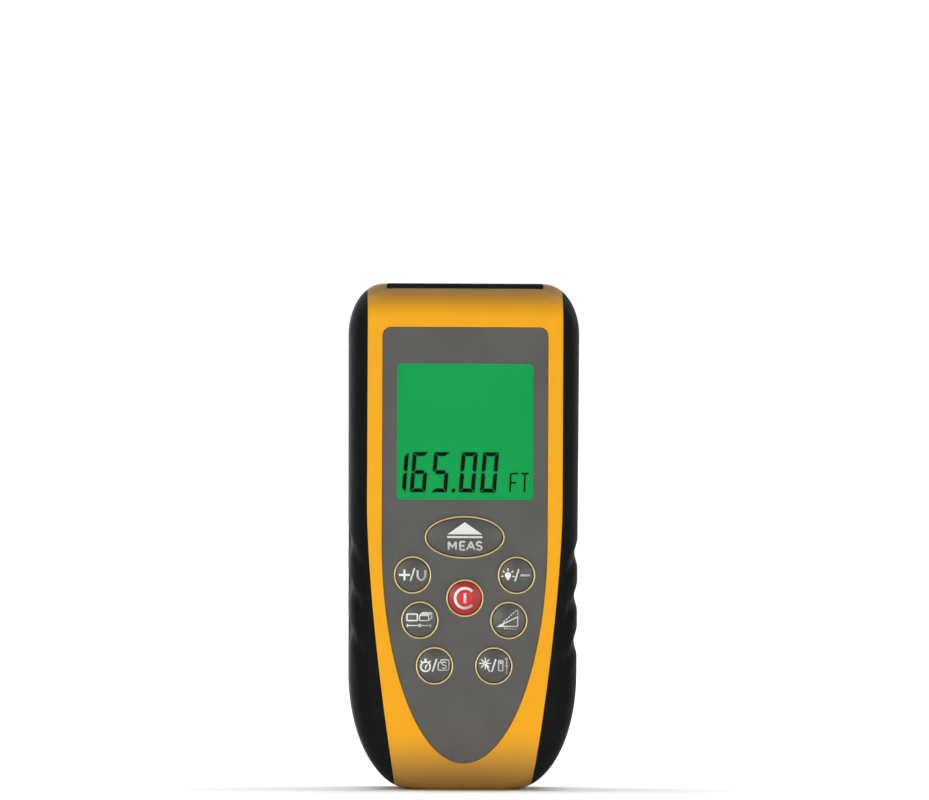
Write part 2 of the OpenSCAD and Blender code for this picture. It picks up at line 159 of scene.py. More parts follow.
class Finish:
    """A material with one Principled shader, whose constants are set on its own sockets."""

    def __init__(self, name, **constants):
        self.material = bpy.data.materials.new(name)
        self.material.use_nodes = True
        self.tree = self.material.node_tree
        self.shader = self.tree.nodes["Principled BSDF"]
        for key, value in constants.items():
            self.shader.inputs[key.replace("_", " ")].default_value = value

    def node(self, kind, settings=None, inputs=None, out=0):
        """Adds a node, sets its own settings, then the values or links of its sockets."""
        made = self.tree.nodes.new(kind)
        for key, value in (settings or {}).items():
            setattr(made, key, value)
        for key, value in (inputs or {}).items():
            if isinstance(value, Wire):
                self.tree.links.new(value.socket, made.inputs[key])
            else:
                made.inputs[key].default_value = value
        return Wire(self, made.outputs[out])

    def feed(self, **links):
        """Links sockets to the shader's inputs of the same names."""
        for key, wire in links.items():
            self.tree.links.new(wire.socket, self.shader.inputs[key.replace("_", " ")])
        return self

    def here(self):
        """The Object coordinates of the point that is shaded."""
        return self.node("ShaderNodeTexCoord", out="Object")

    def axis(self, letter):
        """One Object coordinate, in metres."""
        return self.node("ShaderNodeSeparateXYZ", inputs={0: self.here()}, out=letter)

    def noise(self, size, detail=2.0):
        """Noise with features of about size metres."""
        at = self.node("ShaderNodeMapping", inputs={0: self.here(), "Scale": (1 / size,) * 3})
        return self.node("ShaderNodeTexNoise", inputs={"Vector": at, "Scale": 1.0, "Detail": detail})

    def cells(self, size):
        """Distance to the nearest of many scattered points, about size metres apart."""
        inputs = {"Vector": self.here(), "Scale": 1 / size}
        return self.node("ShaderNodeTexVoronoi", {"feature": "F1"}, inputs, out="Distance")

    def mix(self, factor, first, second):
        """A colour between two colours."""
        settings = {"data_type": "RGBA"}
        return self.node("ShaderNodeMix", settings, {0: factor, 6: first, 7: second}, out=2)

    def bump(self, height, distance, strength=1.0):
        """Normals of a surface raised by height times distance metres."""
        inputs = {"Height": height, "Distance": distance, "Strength": strength}
        return self.node("ShaderNodeBump", inputs=inputs)


def rgb(red, green, blue):
    """A display colour, 0 to 255 a channel, as linear red, green, blue and alpha."""
    shown = np.array([red, green, blue]) / 255
    linear = np.where(shown <= 0.04045, shown / 12.92, ((shown + 0.055) / 1.055) ** 2.4)
    return (*linear.tolist(), 1.0)


# The floor is one sheet of paper: level under the object, then a quarter circle up to a wall.
sweep_front, sweep_r, sweep_y, sweep_top, sweep_half = -4.0, 0.9, 1.9, 4.0, 5.0
turn = np.radians(np.linspace(0, 90, 31))
bend = np.stack([sweep_y + sweep_r * np.sin(turn), sweep_r * (1 - np.cos(turn))], 1)
sweep = np.concatenate([[[sweep_front, 0]], bend, [[sweep_y + sweep_r, sweep_top]]])
sheet = np.array([[(x, y, z) for x in (-sweep_half, sweep_half)] for y, z in sweep]).reshape(-1, 3)
row = np.arange(len(sweep) - 1)[:, None] * 2
floor_mesh = bpy.data.meshes.new("floor")
floor_mesh.from_pydata(sheet.tolist(), [], (row + [0, 1, 3, 2]).tolist())
floor_mesh.shade_smooth()
floor = bpy.data.objects.new("floor", floor_mesh)
scene.collection.objects.link(floor)
paper = Finish("floor_paper", Roughness=0.9, Specular_IOR_Level=0.1)
pulp = paper.noise(0.02)
paper.feed(Base_Color=paper.mix(pulp, rgb(246, 246, 245), rgb(250, 250, 249)), Roughness=0.85 + 0.1 * pulp)
floor_mesh.materials.append(paper.material)

# ---- Front housing ----
# An injection moulded shell in yellow ABS. Its front face is a strap that narrows downwards,
# rolls over the head and under the foot, and has a pocket for the face panel.

mm = 0.001
length = cad_high.z / mm
half_width = cad_high.x / mm
back_y = cad_high.y / mm
key_proud = 0.5
front_y = cad_low.y / mm + key_proud
top_flat, shoulder_h = 18.7, 12.0
foot_flat, taper_h = 12.0, 27.0
foot_rx = half_width - 0.3 - foot_flat
shoulder_rx = half_width - top_flat
head_roll, foot_roll, roll_d = 10.0, 16.0, 7.0
corner_x, corner_y = 6.0, 5.0
back_corner, end_corner = 6.0, 5.0
strap_half, strap_taper_z = 22.75, 66.0
strap_narrowing, strap_power = 0.011, 1.54
seam = 0.07
plate_half = 18.4
core_foot, core_head = 20, 98
panel_half, panel_top, panel_mid, panel_foot = 19.3, 107.8, 58.2, 6.2
panel_corner = 2


def arc(t):
    """Height of a unit quarter circle at t: the square root of 1 - t squared."""
    return np.sqrt(np.clip(1 - np.square(t), 0, 1))


def side_at(z):
    """Half width of the body at height z: an elliptical foot, nearly straight sides, an
    elliptical shoulder."""
    foot = foot_flat + foot_rx * arc((taper_h - z) / taper_h)
    shoulder = top_flat + shoulder_rx * arc((z - length + shoulder_h) / shoulder_h)
    rise = np.clip((z - taper_h) / (length - shoulder_h - taper_h), 0, 1)
    straight = half_width - 0.3 + 0.3 * rise
    return np.where(z < taper_h, foot, np.where(z > length - shoulder_h, shoulder, straight))


def front_at(z):
    """y of the front face on the middle line: flat, with an elliptical roll at each end."""
    low = arc(np.clip((foot_roll - z) / foot_roll, 0, 1))
    high = arc(np.clip((z - length + head_roll) / head_roll, 0, 1))
    return front_y + roll_d - roll_d * np.minimum(low, high)


def back_at(z):
    """y of the back face: flat, rounded off by a quarter circle at each end."""
    low = arc(np.clip((end_corner - z) / end_corner, 0, 1))
    high = arc(np.clip((z - length + end_corner) / end_corner, 0, 1))
    return back_y - end_corner + end_corner * np.minimum(low, high)


def face_at(x, z):
    """y of the front skin at x, z: the front face, turned back round an elliptical corner."""
    turn = np.clip((np.abs(x) - side_at(z) + corner_x) / corner_x, 0, 1)
    return front_at(z) + corner_y * (1 - arc(turn))


def end_at(x, top):
    """z of the body's end at x: flat in the middle, falling away on a quarter ellipse."""
    if top:
        return length - shoulder_h * (1 - arc(np.clip((np.abs(x) - top_flat) / shoulder_rx, 0, 1)))
    return taper_h * (1 - arc(np.clip((np.abs(x) - foot_flat) / foot_rx, 0, 1)))


def strap_at(z):
    """Half width of the yellow strap: constant, then narrowing with a power of the way down."""
    return strap_half - strap_narrowing * np.clip(strap_taper_z - z, 0, None) ** strap_power


def panel_edge(grow):
    """The right half of the panel's outline grown by grow, from the tip up to the top corner:
    a quarter ellipse, a straight side and a round corner, as x, z rows."""
    turn = np.radians(np.linspace(0, 90, 76))
    depth = panel_mid - panel_foot
    normal = np.stack([np.sin(turn) / panel_half, -np.cos(turn) / depth], 1)
    normal /= np.linalg.norm(normal, axis=1)[:, None]
    curve = np.stack([panel_half * np.sin(turn), panel_mid - depth * np.cos(turn)], 1) + grow * normal
    rise = np.linspace(panel_mid, panel_top - panel_corner, 42)[1:]
    side = np.stack([np.full(len(rise), panel_half + grow), rise], 1)
    turn = np.radians(np.linspace(0, 90, 10))[1:]
    corner = np.stack([np.cos(turn), np.sin(turn)], 1) * (panel_corner + grow)
    corner += [panel_half - panel_corner, panel_top - panel_corner]
    return np.concatenate([curve, side, corner])


def skin(name, patches, caps=(), tolerance=0.002):
    """One piece from patches, each a rows x columns x 3 array of points in millimetres, and caps,
    each a ring closed by one flat face. Points that meet are welded."""
    points, faces, start = [], [], 0
    for patch in patches:
        rows, columns = patch.shape[:2]
        first = np.arange((rows - 1) * columns).reshape(rows - 1, columns)[:, :-1].ravel() + start
        cells = np.stack([first, first + 1, first + columns + 1, first + columns], 1)
        points.append(patch.reshape(-1, 3))
        faces += cells.tolist()
        start += rows * columns
    for ring in caps:
        points.append(ring)
        faces.append(list(range(start, start + len(ring))))
        start += len(ring)
    mesh = bpy.data.meshes.new(name)
    mesh.from_pydata((np.concatenate(points) * mm).tolist(), [], faces)
    welded = bmesh.new()
    welded.from_mesh(mesh)
    bmesh.ops.remove_doubles(welded, verts=welded.verts, dist=tolerance * mm)
    bmesh.ops.recalc_face_normals(welded, faces=welded.faces)
    welded.to_mesh(mesh)
    welded.free()
    piece = bpy.data.objects.new(name, mesh)
    scene.collection.objects.link(piece)
    return piece


def face_out(piece):
    """Turns an open skin's faces so that they look away from the body's middle."""
    mesh = piece.data
    middle = np.zeros(len(mesh.polygons) * 3)
    normal = np.zeros(len(mesh.polygons) * 3)
    area = np.zeros(len(mesh.polygons))
    mesh.polygons.foreach_get("center", middle)
    mesh.polygons.foreach_get("normal", normal)
    mesh.polygons.foreach_get("area", area)
    middle, normal = middle.reshape(-1, 3), normal.reshape(-1, 3)
    core = np.stack([0 * area, 0 * area, np.clip(middle[:, 2], core_foot * mm, core_head * mm)], 1)
    if np.sum((middle - core) * normal * area[:, None]) < 0:
        mesh.flip_normals()


def settle(piece, cutters=(), wall=0.0, sharp=35):
    """Gives a skin its wall, cuts the cutters out of it and marks its sharp edges."""
    if wall:
        face_out(piece)
        solidify = piece.modifiers.new("wall", "SOLIDIFY")
        solidify.thickness = wall * mm
        solidify.offset = -1
    for cutter in cutters:
        boolean = piece.modifiers.new("cut", "BOOLEAN")
        boolean.operation = "DIFFERENCE"
        boolean.solver = "EXACT"
        boolean.object = cutter
    bpy.context.view_layer.update()
    shaped = piece.evaluated_get(bpy.context.evaluated_depsgraph_get())
    mesh = bpy.data.meshes.new_from_object(shaped)
    piece.modifiers.clear()
    piece.data = mesh
    for cutter in cutters:
        bpy.data.objects.remove(cutter)
    mesh.shade_smooth()
    mesh.set_sharp_from_angle(angle=math.radians(sharp))
    return piece


def fit(piece, finish, body, slot, *nodes):
    """Gives a piece its finish and its place in the assembly, and hides the CAD nodes it stands for."""
    piece.data.materials.clear()
    piece.data.materials.append(finish.material)
    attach(piece, body)
    if nodes:
        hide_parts(*nodes)
    return piece


def hem(edge, inner, radius=0.1, depth=0.7, closed=False):
    """Rows that carry a patch past its edge row: a quarter circle inwards, then straight in.
    inner is the patch's next row, which gives the way across."""
    if closed:
        along = np.roll(edge[:-1], -1, 0) - np.roll(edge[:-1], 1, 0)
        along = np.concatenate([along, along[:1]])
    else:
        along = np.gradient(edge, axis=0)
    across = edge - inner
    across -= along * (np.sum(across * along, 1) / np.sum(along * along, 1))[:, None]
    across /= np.linalg.norm(across, axis=1)[:, None]
    inward = np.cross(along, across)
    inward /= np.linalg.norm(inward, axis=1)[:, None]
    core = np.stack([0 * edge[:, 0], 0 * edge[:, 0], np.clip(edge[:, 2], core_foot, core_head)], 1)
    inward *= np.sign(np.median(np.sum(inward * (core - edge), 1)))
    rows = [edge + across * radius * np.sin(a) + inward * radius * (1 - np.cos(a))
            for a in np.radians([0, 22.5, 45, 67.5, 90])]
    return np.stack(rows + [edge + across * radius + inward * depth])


def resample(line, stations):
    """Points of a polyline at the given distances along it."""
    steps = np.linalg.norm(np.diff(line, axis=0), axis=1)
    reach = np.concatenate([[0], np.cumsum(steps)])
    return np.stack([np.interp(stations, reach, line[:, k]) for k in range(3)], 1), reach


def strap_column(share, z_start, top, y_stop, rows):
    """A column of the strap at a share of its half width, from z_start over the end of the body:
    rows[0] points as far as y_stop, then rows[1] points on to the parting line at y = 0."""
    z_end = end_at(share * (strap_half - seam), True) if top else 0.0
    for _ in range(8):
        z_end = end_at(share * (strap_at(z_end) - seam), top)
    z = z_start + (z_end - z_start) * np.sin(np.linspace(0, np.pi / 2, 160))
    x = share * (strap_at(z) - seam)
    roll = np.stack([x, face_at(x, z), z], 1)
    flat = np.linspace(roll[-1], [x[-1], 0, z[-1]], 60)[1:]
    line = np.concatenate([roll, flat])
    reach = resample(line, [0])[1]
    stop = np.interp(y_stop, line[:, 1], reach)
    first = resample(line, np.linspace(0, stop, rows[0]))[0]
    second = resample(line, np.linspace(stop, reach[-1], rows[1]))[0]
    return first, second


plate_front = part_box("end_plate")[0].y / mm
under_plate = plate_front + 0.4
z_low, z_high = 4.4, 112.0
foot_bend_y = -3.0
pocket_round = 0.12

inner_half = panel_edge(pocket_round)
tip_count = 26
tip_x = inner_half[:tip_count]
side_in = inner_half[tip_count - 1:]
side_share = (side_in[:, 1] - side_in[0, 1]) / (side_in[-1, 1] - side_in[0, 1])
side_z = z_low + side_share * (z_high - z_low)
side_out = np.stack([strap_at(side_z) - seam, side_z], 1)
shares_low = tip_x[:, 0] / tip_x[-1, 0]
bottom_out = np.stack([shares_low * (strap_at(z_low) - seam), np.full(tip_count, z_low)], 1)
plate_share = plate_half / (strap_half - seam)
shares_top = np.concatenate([np.linspace(1, plate_share, 6), np.linspace(plate_share, 0, 18)[1:]])
top_in = np.stack([shares_top * inner_half[-1, 0], 0 * shares_top + inner_half[-1, 1]], 1)
top_out = np.stack([shares_top * (strap_half - seam), 0 * shares_top + z_high], 1)
right_in = np.concatenate([tip_x[:-1], side_in, top_in[1:]])
right_out = np.concatenate([bottom_out[:-1], side_out, top_out[1:]])


def both_halves(right):
    """Closes a right-hand half loop of x, z rows with its mirror image."""
    return np.concatenate([right, (right * [-1, 1])[-2::-1]])


loop_in, loop_out = both_halves(right_in), both_halves(right_out)
spread = (1 - np.cos(np.linspace(0, np.pi, 15))) / 2
between = loop_in[None] + (loop_out - loop_in)[None] * spread[:, None, None]
strap_face = np.stack([between[..., 0], face_at(between[..., 0], between[..., 1]), between[..., 1]], -1)
pocket_hem = hem(strap_face[0], strap_face[1], pocket_round, 1.2, closed=True)

all_top = np.concatenate([shares_top, -shares_top[-2::-1]])
columns = [strap_column(s, z_high, True, under_plate, (14, 14)) for s in all_top]
head = np.stack([column[0] for column in columns], 1)
head_right = np.stack([column[1] for column in columns[:6]], 1)
head_left = np.stack([column[1] for column in columns[-6:]], 1)
all_low = np.concatenate([-shares_low[:0:-1], shares_low])
columns = [strap_column(s, z_low, False, foot_bend_y, (20, 6)) for s in all_low]
foot = np.stack([column[0] for column in columns], 1)
foot_end = np.stack([column[1] for column in columns], 1)

front_patches = [strap_face, pocket_hem, head, head_right, head_left, foot, foot_end]
for patch in (head_right, head_left, foot_end):
    front_patches.append(hem(patch[-1], patch[-2]))
front_patches.append(hem(head_right[:, -1], head_right[:, -2], 0.1))
front_patches.append(hem(head_left[:, 0], head_left[:, 1], 0.1))

# Each long edge runs up the foot, the face and the head. Every row says which side it is, the
# edge column and its neighbour in the foot, the same two in the head, and the head's end patch.
side_rows = slice(tip_count - 1, tip_count - 1 + len(side_in))
for side, foot_edge, foot_next, head_edge, head_next, head_end in (
    (1, -1, -2, 0, 1, head_right),
    (-1, 0, 1, -1, -2, head_left),
):
    mirror = [side, 1, 1]
    edge = np.concatenate([foot_end[::-1, foot_edge], foot[::-1, foot_edge][1:],
                           (strap_face[-1, side_rows] * mirror)[1:],
                           head[1:, head_edge], head_end[1:, head_edge]])
    inner = np.concatenate([foot_end[::-1, foot_next], foot[::-1, foot_next][1:],
                            (strap_face[-2, side_rows] * mirror)[1:],
                            head[1:, head_next], head_end[1:, head_next]])
    front_patches.append(hem(edge, inner))

yellow = Finish("yellow_abs", Roughness=0.46, Specular_IOR_Level=0.2)
grain = yellow.noise(0.00022, 3)
cloud = yellow.noise(0.012, 2)
height = yellow.axis("Z")
body_yellow = yellow.mix(cloud.over(0.3, 0.7), rgb(250, 172, 4), rgb(252, 177, 8))
# Painted shade: the yellow turns a dull brown over the roll under the foot and over the roll at the head,
# where less light falls on the curved ends.
foot_painted_shade = yellow.mix((0.0155 - height).over(0.0, 0.014), body_yellow, rgb(172, 129, 60))
yellow.feed(
    Base_Color=yellow.mix(height.over(0.1092, 0.1175), foot_painted_shade, rgb(120, 90, 32)),
    Roughness=0.42 + 0.1 * grain + 0.04 * cloud,
    Normal=yellow.bump(grain, 0.000012, 0.6),
)
front_housing = settle(skin("front_housing_shell", front_patches), wall=1.0)
fit(front_housing, yellow, "housing", "yellow_abs", "front_housing")

# ---- Face panel ----
# A thin panel of grey ABS glued into the pocket of the front housing. It has a fine moulded
# grain, a sharp window opening and eight key holes, and follows the roll of the foot.

panel_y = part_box("face_panel")[0].y / mm
panel_t = 1.6
panel_round = 0.12
window_round = 1.1


def box_mm(node):
    """Lowest and highest corner of a CAD node in millimetres."""
    low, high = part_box(node)
    return np.array(low) / mm, np.array(high) / mm


def stacked(rings):
    """A wall through a stack of rings: each row is a ring that ends on its first point again."""
    return np.stack([np.concatenate([ring, ring[:1]]) for ring in rings])


def prism(name, outline, y0, y1):
    """A closed solid: an x, z outline carried straight along y from y0 to y1."""
    near = np.stack([outline[:, 0], 0 * outline[:, 0] + y0, outline[:, 1]], 1)
    far = near + [0, y1 - y0, 0]
    return skin(name, [stacked([near, far])], [near, far])


def oval(centre, rx, rz, count=72):
    """An ellipse of count points round centre, as x, z rows."""
    turn = np.linspace(0, 2 * np.pi, count, endpoint=False)
    return np.stack([centre[0] + rx * np.cos(turn), centre[1] + rz * np.sin(turn)], 1)


def rounded(corners, radius, steps=7):
    """A polygon whose corners are replaced by arcs: each is a quadratic curve that leaves one
    side at a distance radius from the corner and joins the next."""
    corners = np.array(corners, float)
    before = np.roll(corners, 1, 0) - corners
    after = np.roll(corners, -1, 0) - corners
    before *= radius / np.linalg.norm(before, axis=1)[:, None]
    after *= radius / np.linalg.norm(after, axis=1)[:, None]
    t = np.linspace(0, 1, steps)[None, :, None]
    start, end = (corners + before)[:, None], (corners + after)[:, None]
    curve = (1 - t) ** 2 * start + 2 * t * (1 - t) * corners[:, None] + t ** 2 * end
    return curve.reshape(-1, corners.shape[1])


def oblong(low, high, grow=0.0, radius=window_round):
    """The rounded rectangle between two corners of x, z, grown by grow."""
    x0, z0 = low[0] - grow, low[-1] - grow
    x1, z1 = high[0] + grow, high[-1] + grow
    return rounded([(x0, z0), (x1, z0), (x1, z1), (x0, z1)], radius)


def panel_face(inset):
    """The panel's front as a grid: each row runs straight across between the two sides."""
    half = panel_edge(-inset)
    x = half[:, :1] * np.linspace(-1, 1, 61)
    z = half[:, 1:] + 0 * x
    return np.stack([x, face_at(x, z) + panel_y - front_y, z], -1)


def rim_of(grid):
    """The closed edge of a panel grid: up the right side, back along the top, down the left."""
    return np.concatenate([grid[:, -1], grid[-1, -2:0:-1], grid[::-1, 0]])


round_keys = ["power_key", "plus_units_key", "light_minus_key", "area_volume_key", "indirect_key",
              "timer_store_key", "laser_reference_key"]
all_keys = round_keys + ["measure_key"]
flange_w = 0.95
trim_w = 0.53
key_grow = 0.07
key_shape = {}
for name in all_keys:
    low, high = box_mm(name)
    key_shape[name] = ((low + high)[[0, 2]] / 2, *((high - low)[[0, 2]] / 2 - flange_w + key_grow))

outer, inner = panel_face(panel_round + 0.03), panel_face(panel_round + 0.3)
window_low, window_high = box_mm("display_window")
window_low, window_high = window_low + [1.7, 0, 1.5], window_high - [1.7, 0, 1.65]
through = (-16, -9)
hole_w = trim_w + 0.02
cutters = [prism("window_cut", oblong(window_low, window_high, 0.06), *through)]
for centre, rx, rz in key_shape.values():
    cutters.append(prism("key_cut", oval(centre, rx + hole_w, rz + hole_w), *through))
panel_hem = hem(rim_of(outer), rim_of(inner), panel_round, 0.9, closed=True)
panel_skin = skin("face_panel_plate", [outer, panel_hem])
face_panel = settle(panel_skin, cutters, wall=0.5)

grey = Finish("panel_grey", Roughness=0.5, Specular_IOR_Level=0.2)
grain = grey.noise(0.00016, 3)
cloud = grey.noise(0.009, 2)
grey.feed(
    Base_Color=grey.mix(cloud.over(0.3, 0.7), rgb(90, 89, 86), rgb(95, 94, 91)),
    Roughness=0.46 + 0.14 * grain,
    Normal=grey.bump(grain, 0.000014, 0.7),
)
fit(face_panel, grey, "housing", "grey_abs", "face_panel")

# ---- Key trim rings ----
# Gold anodised rings pressed round every key hole. Each is a turned hoop with a flattened crown
# that stands a little proud of the grey panel.

ring_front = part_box("key_trim_rings")[0].y / mm
ring_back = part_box("key_trim_rings")[1].y / mm


def hoop(centre, rx, rz, section, count=96):
    """A closed section of (offset, y) points carried round an ellipse: every point of the section
    follows the ellipse whose two radii are grown by its offset."""
    turn = np.linspace(0, 2 * np.pi, count + 1)[None]
    offset, y = np.array(section + section[:1]).T[:, :, None]
    x = centre[0] + (rx + offset) * np.cos(turn)
    z = centre[1] + (rz + offset) * np.sin(turn)
    return np.stack([x, y + 0 * x, z], -1)


crown_half, crown_h = 0.19, 0.18
crown_middle = trim_w / 2 + 0.1
crown = [(crown_middle + crown_half * math.cos(a), ring_front + crown_h - crown_h * abs(math.sin(a)) ** 0.5)
         for a in np.radians(np.linspace(0, 180, 13))]
section = [(crown_middle + crown_half, ring_back), *crown, (crown_middle - crown_half, ring_back)]
rings = skin("key_trim_hoops", [hoop(centre, rx, rz, section) for centre, rx, rz in key_shape.values()])
gold = Finish("gold_trim", Metallic=0.6, Roughness=0.3)
brushed = gold.noise(0.0004, 3)
gold.feed(
    Base_Color=gold.mix(brushed, rgb(190, 168, 104), rgb(222, 204, 146)),
    Roughness=0.26 + 0.16 * brushed,
    Normal=gold.bump(brushed, 0.000006, 0.5),
)
fit(settle(rings, sharp=50), gold, "housing", "gold_trim", "key_trim_rings")

# ---- Keys ----
# Domed caps of glossy grey plastic on a silicone mat, one of them red. Each has a flange under
# the panel, and a raised silver print of its function.

key_top = cad_low.y / mm
key_rise = 0.5
flange_t = 0.7
flange_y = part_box("power_key")[1].y / mm - flange_t
rim_start, rim_drop = 0.95, 0.14
cap_grow = 0.08
cap_shape = {}
for name, (centre, rx, rz) in key_shape.items():
    cap_shape[name] = (centre, rx + cap_grow, rz + cap_grow)


def crown_y(share):
    """y of a key's dome at a share of its radius: a parabola, with a quarter round at the rim."""
    rim = np.clip((share - rim_start) / (1 - rim_start), 0, 1)
    return key_top + key_rise * share ** 2 + rim_drop * (1 - arc(rim))


def key_cap(centre, rx, rz):
    """Rows of a key from the middle of its dome, over the rim and down the side to the flange."""
    rim = 1 - (1 - rim_start) * np.cos(np.radians(np.linspace(90, 0, 9)))
    share = np.unique(np.round(np.concatenate([np.linspace(0, rim_start, 16), rim]), 6))
    turn = np.linspace(0, 2 * np.pi, 97)[None]
    dome_y = crown_y(share)
    side = [(0.0, flange_y), (flange_w - 0.1, flange_y), (flange_w, flange_y + 0.1),
            (flange_w, flange_y + flange_t)]
    grow = np.concatenate([0 * share, [g for g, _ in side]])[:, None]
    scale = np.concatenate([share, [1, 1, 1, 1]])[:, None]
    y = np.concatenate([dome_y, [y for _, y in side]])[:, None]
    x = centre[0] + (rx * scale + grow) * np.cos(turn)
    z = centre[1] + (rz * scale + grow) * np.sin(turn)
    rows = np.stack([x, y + 0 * x, z], -1)
    return rows, rows[-1, :-1]


def cap_finish(name, dark, light):
    """Glossy moulded plastic with a faint mottle and very fine ripples."""
    made = Finish(name, IOR=1.5, Roughness=0.35, Coat_Roughness=0.25, Specular_IOR_Level=0.4)
    mottle = made.noise(0.004, 2)
    ripple = made.noise(0.0003, 2)
    return made.feed(
        Base_Color=made.mix(mottle, dark, light),
        Roughness=0.32 + 0.14 * ripple,
        Coat_Weight=0.12 + 0.1 * mottle,
        Normal=made.bump(ripple, 0.000005, 0.4),
    )


key_grey = cap_finish("key_grey", rgb(68, 67, 63), rgb(80, 78, 74))
key_red = cap_finish("key_red", rgb(160, 8, 8), rgb(176, 12, 12))
for name, (centre, rx, rz) in cap_shape.items():
    rows, back = key_cap(centre, rx, rz)
    cap = settle(skin(name + "_cap", [rows], [back]), sharp=50)
    red = name == "power_key"
    fit(cap, key_red if red else key_grey, name, "red_key_plastic" if red else "key_plastic", name)

# ---- Key prints ----
# The function marks, printed in thick silver ink. Every mark is a ribbon that follows a path over
# the dome: triangles and bars are ribbons too, whose width changes along the path.

ink_lift, ink_sink = 0.03, 0.05


def ribbon(path, width, surface, columns=3, step=0.35):
    """A raised strip along an x, z path. Its cross-section spans the width at right angles to the
    path, lies on the surface and has two sides that sink below it. width is one or two values,
    spread along the path."""
    path = np.array(path, float)
    reach = np.concatenate([[0], np.cumsum(np.linalg.norm(np.diff(path, axis=0), axis=1))])
    stations = np.concatenate([reach, np.linspace(0, reach[-1], max(3, int(reach[-1] / step) + 1))])
    stations = np.unique(np.round(stations, 5))
    x, z = np.interp(stations, reach, path[:, 0]), np.interp(stations, reach, path[:, 1])
    along = np.gradient(np.stack([x, z], 1), stations, axis=0)
    along /= np.linalg.norm(along, axis=1)[:, None]
    half = np.interp(stations, np.linspace(0, reach[-1], np.size(width)), np.atleast_1d(width)) / 2
    share = np.linspace(-1, 1, columns)
    side = share[None] * half[:, None]
    xs = x[:, None] - along[:, 1:] * side
    zs = z[:, None] + along[:, :1] * side
    top = np.stack([xs, surface(xs, zs) - ink_lift, zs], -1)
    low = top + [0, ink_lift + ink_sink, 0]
    loop = np.concatenate([top, low[:, ::-1], top[:, :1]], 1)
    return loop, [loop[0, :-1], loop[-1, :-1]]


def circle(centre, radius, first=0, last=360, steps=25):
    """Points on an arc, with angles in degrees from the x axis."""
    turn = np.radians(np.linspace(first, last, steps))
    return np.stack([centre[0] + radius * np.cos(turn), centre[1] + radius * np.sin(turn)], 1).tolist()


def dome_of(centre, rx, rz):
    """One key's dome as a function that gives y at x, z."""

    def height(x, z):
        return crown_y(np.sqrt(((x - centre[0]) / rx) ** 2 + ((z - centre[1]) / rz) ** 2))

    return height


letters = {
    "M": [[(0, 0), (0, 1)], [(0, 1), (0.5, 0.3), (1, 1)], [(1, 1), (1, 0)]],
    "E": [[(0, 0), (0, 1)], [(0, 1), (1, 1)], [(0, 0.5), (0.85, 0.5)], [(0, 0), (1, 0)]],
    "A": [[(0, 0), (0.5, 1), (1, 0)], [(0.2, 0.33), (0.8, 0.33)]],
    "S": [[(x, z / 2) for x, z in
           circle((0.5, 1.5), 0.5, 25, 270, 13) + circle((0.5, 0.5), 0.5, 90, -155, 13)]],
    "U": [[(0, 1), (0, 0.3)] + circle((0.5, 0.42), 0.45, 195, 345, 11) + [(1, 0.3), (1, 1)]],
    "F": [[(0, 0), (0, 1)], [(0, 1), (1, 1)], [(0, 0.5), (0.8, 0.5)]],
    "T": [[(0, 1), (1, 1)], [(0.5, 1), (0.5, 0)]],
}


def word(text, places, low, height, width, slant=0.0):
    """The strokes of a word on the line low: places gives the left side and width of every letter."""
    strokes = []
    for letter, (left, wide) in zip(text, places):
        for stroke in letters[letter]:
            points = [(left + x * wide + z * height * slant, low + z * height) for x, z in stroke]
            strokes.append((points, width))
    return strokes


def box_lines(x0, z0, x1, z1, width):
    """The four sides of an upright rectangle as strokes."""
    corners = [(x0, z0), (x1, z0), (x1, z1), (x0, z1), (x0, z0)]
    return [([a, b], width) for a, b in zip(corners, corners[1:])]


def rays(centre, near, far, angles, width):
    """Straight strokes that point away from a centre, from one radius to another, at angles in
    degrees from the x axis."""
    return [([(centre[0] + r * math.cos(a), centre[1] + r * math.sin(a)) for r in (near, far)], width)
            for a in np.radians(angles)]


def dashes(a, b, count, width):
    """A dashed line from a to b: each stroke fills a little over half of its equal share."""
    a, b = np.array(a), np.array(b)
    parts = [((k + 0.1) / count, (k + 0.65) / count) for k in range(count)]
    return [([a + (b - a) * s, a + (b - a) * e], width) for s, e in parts]


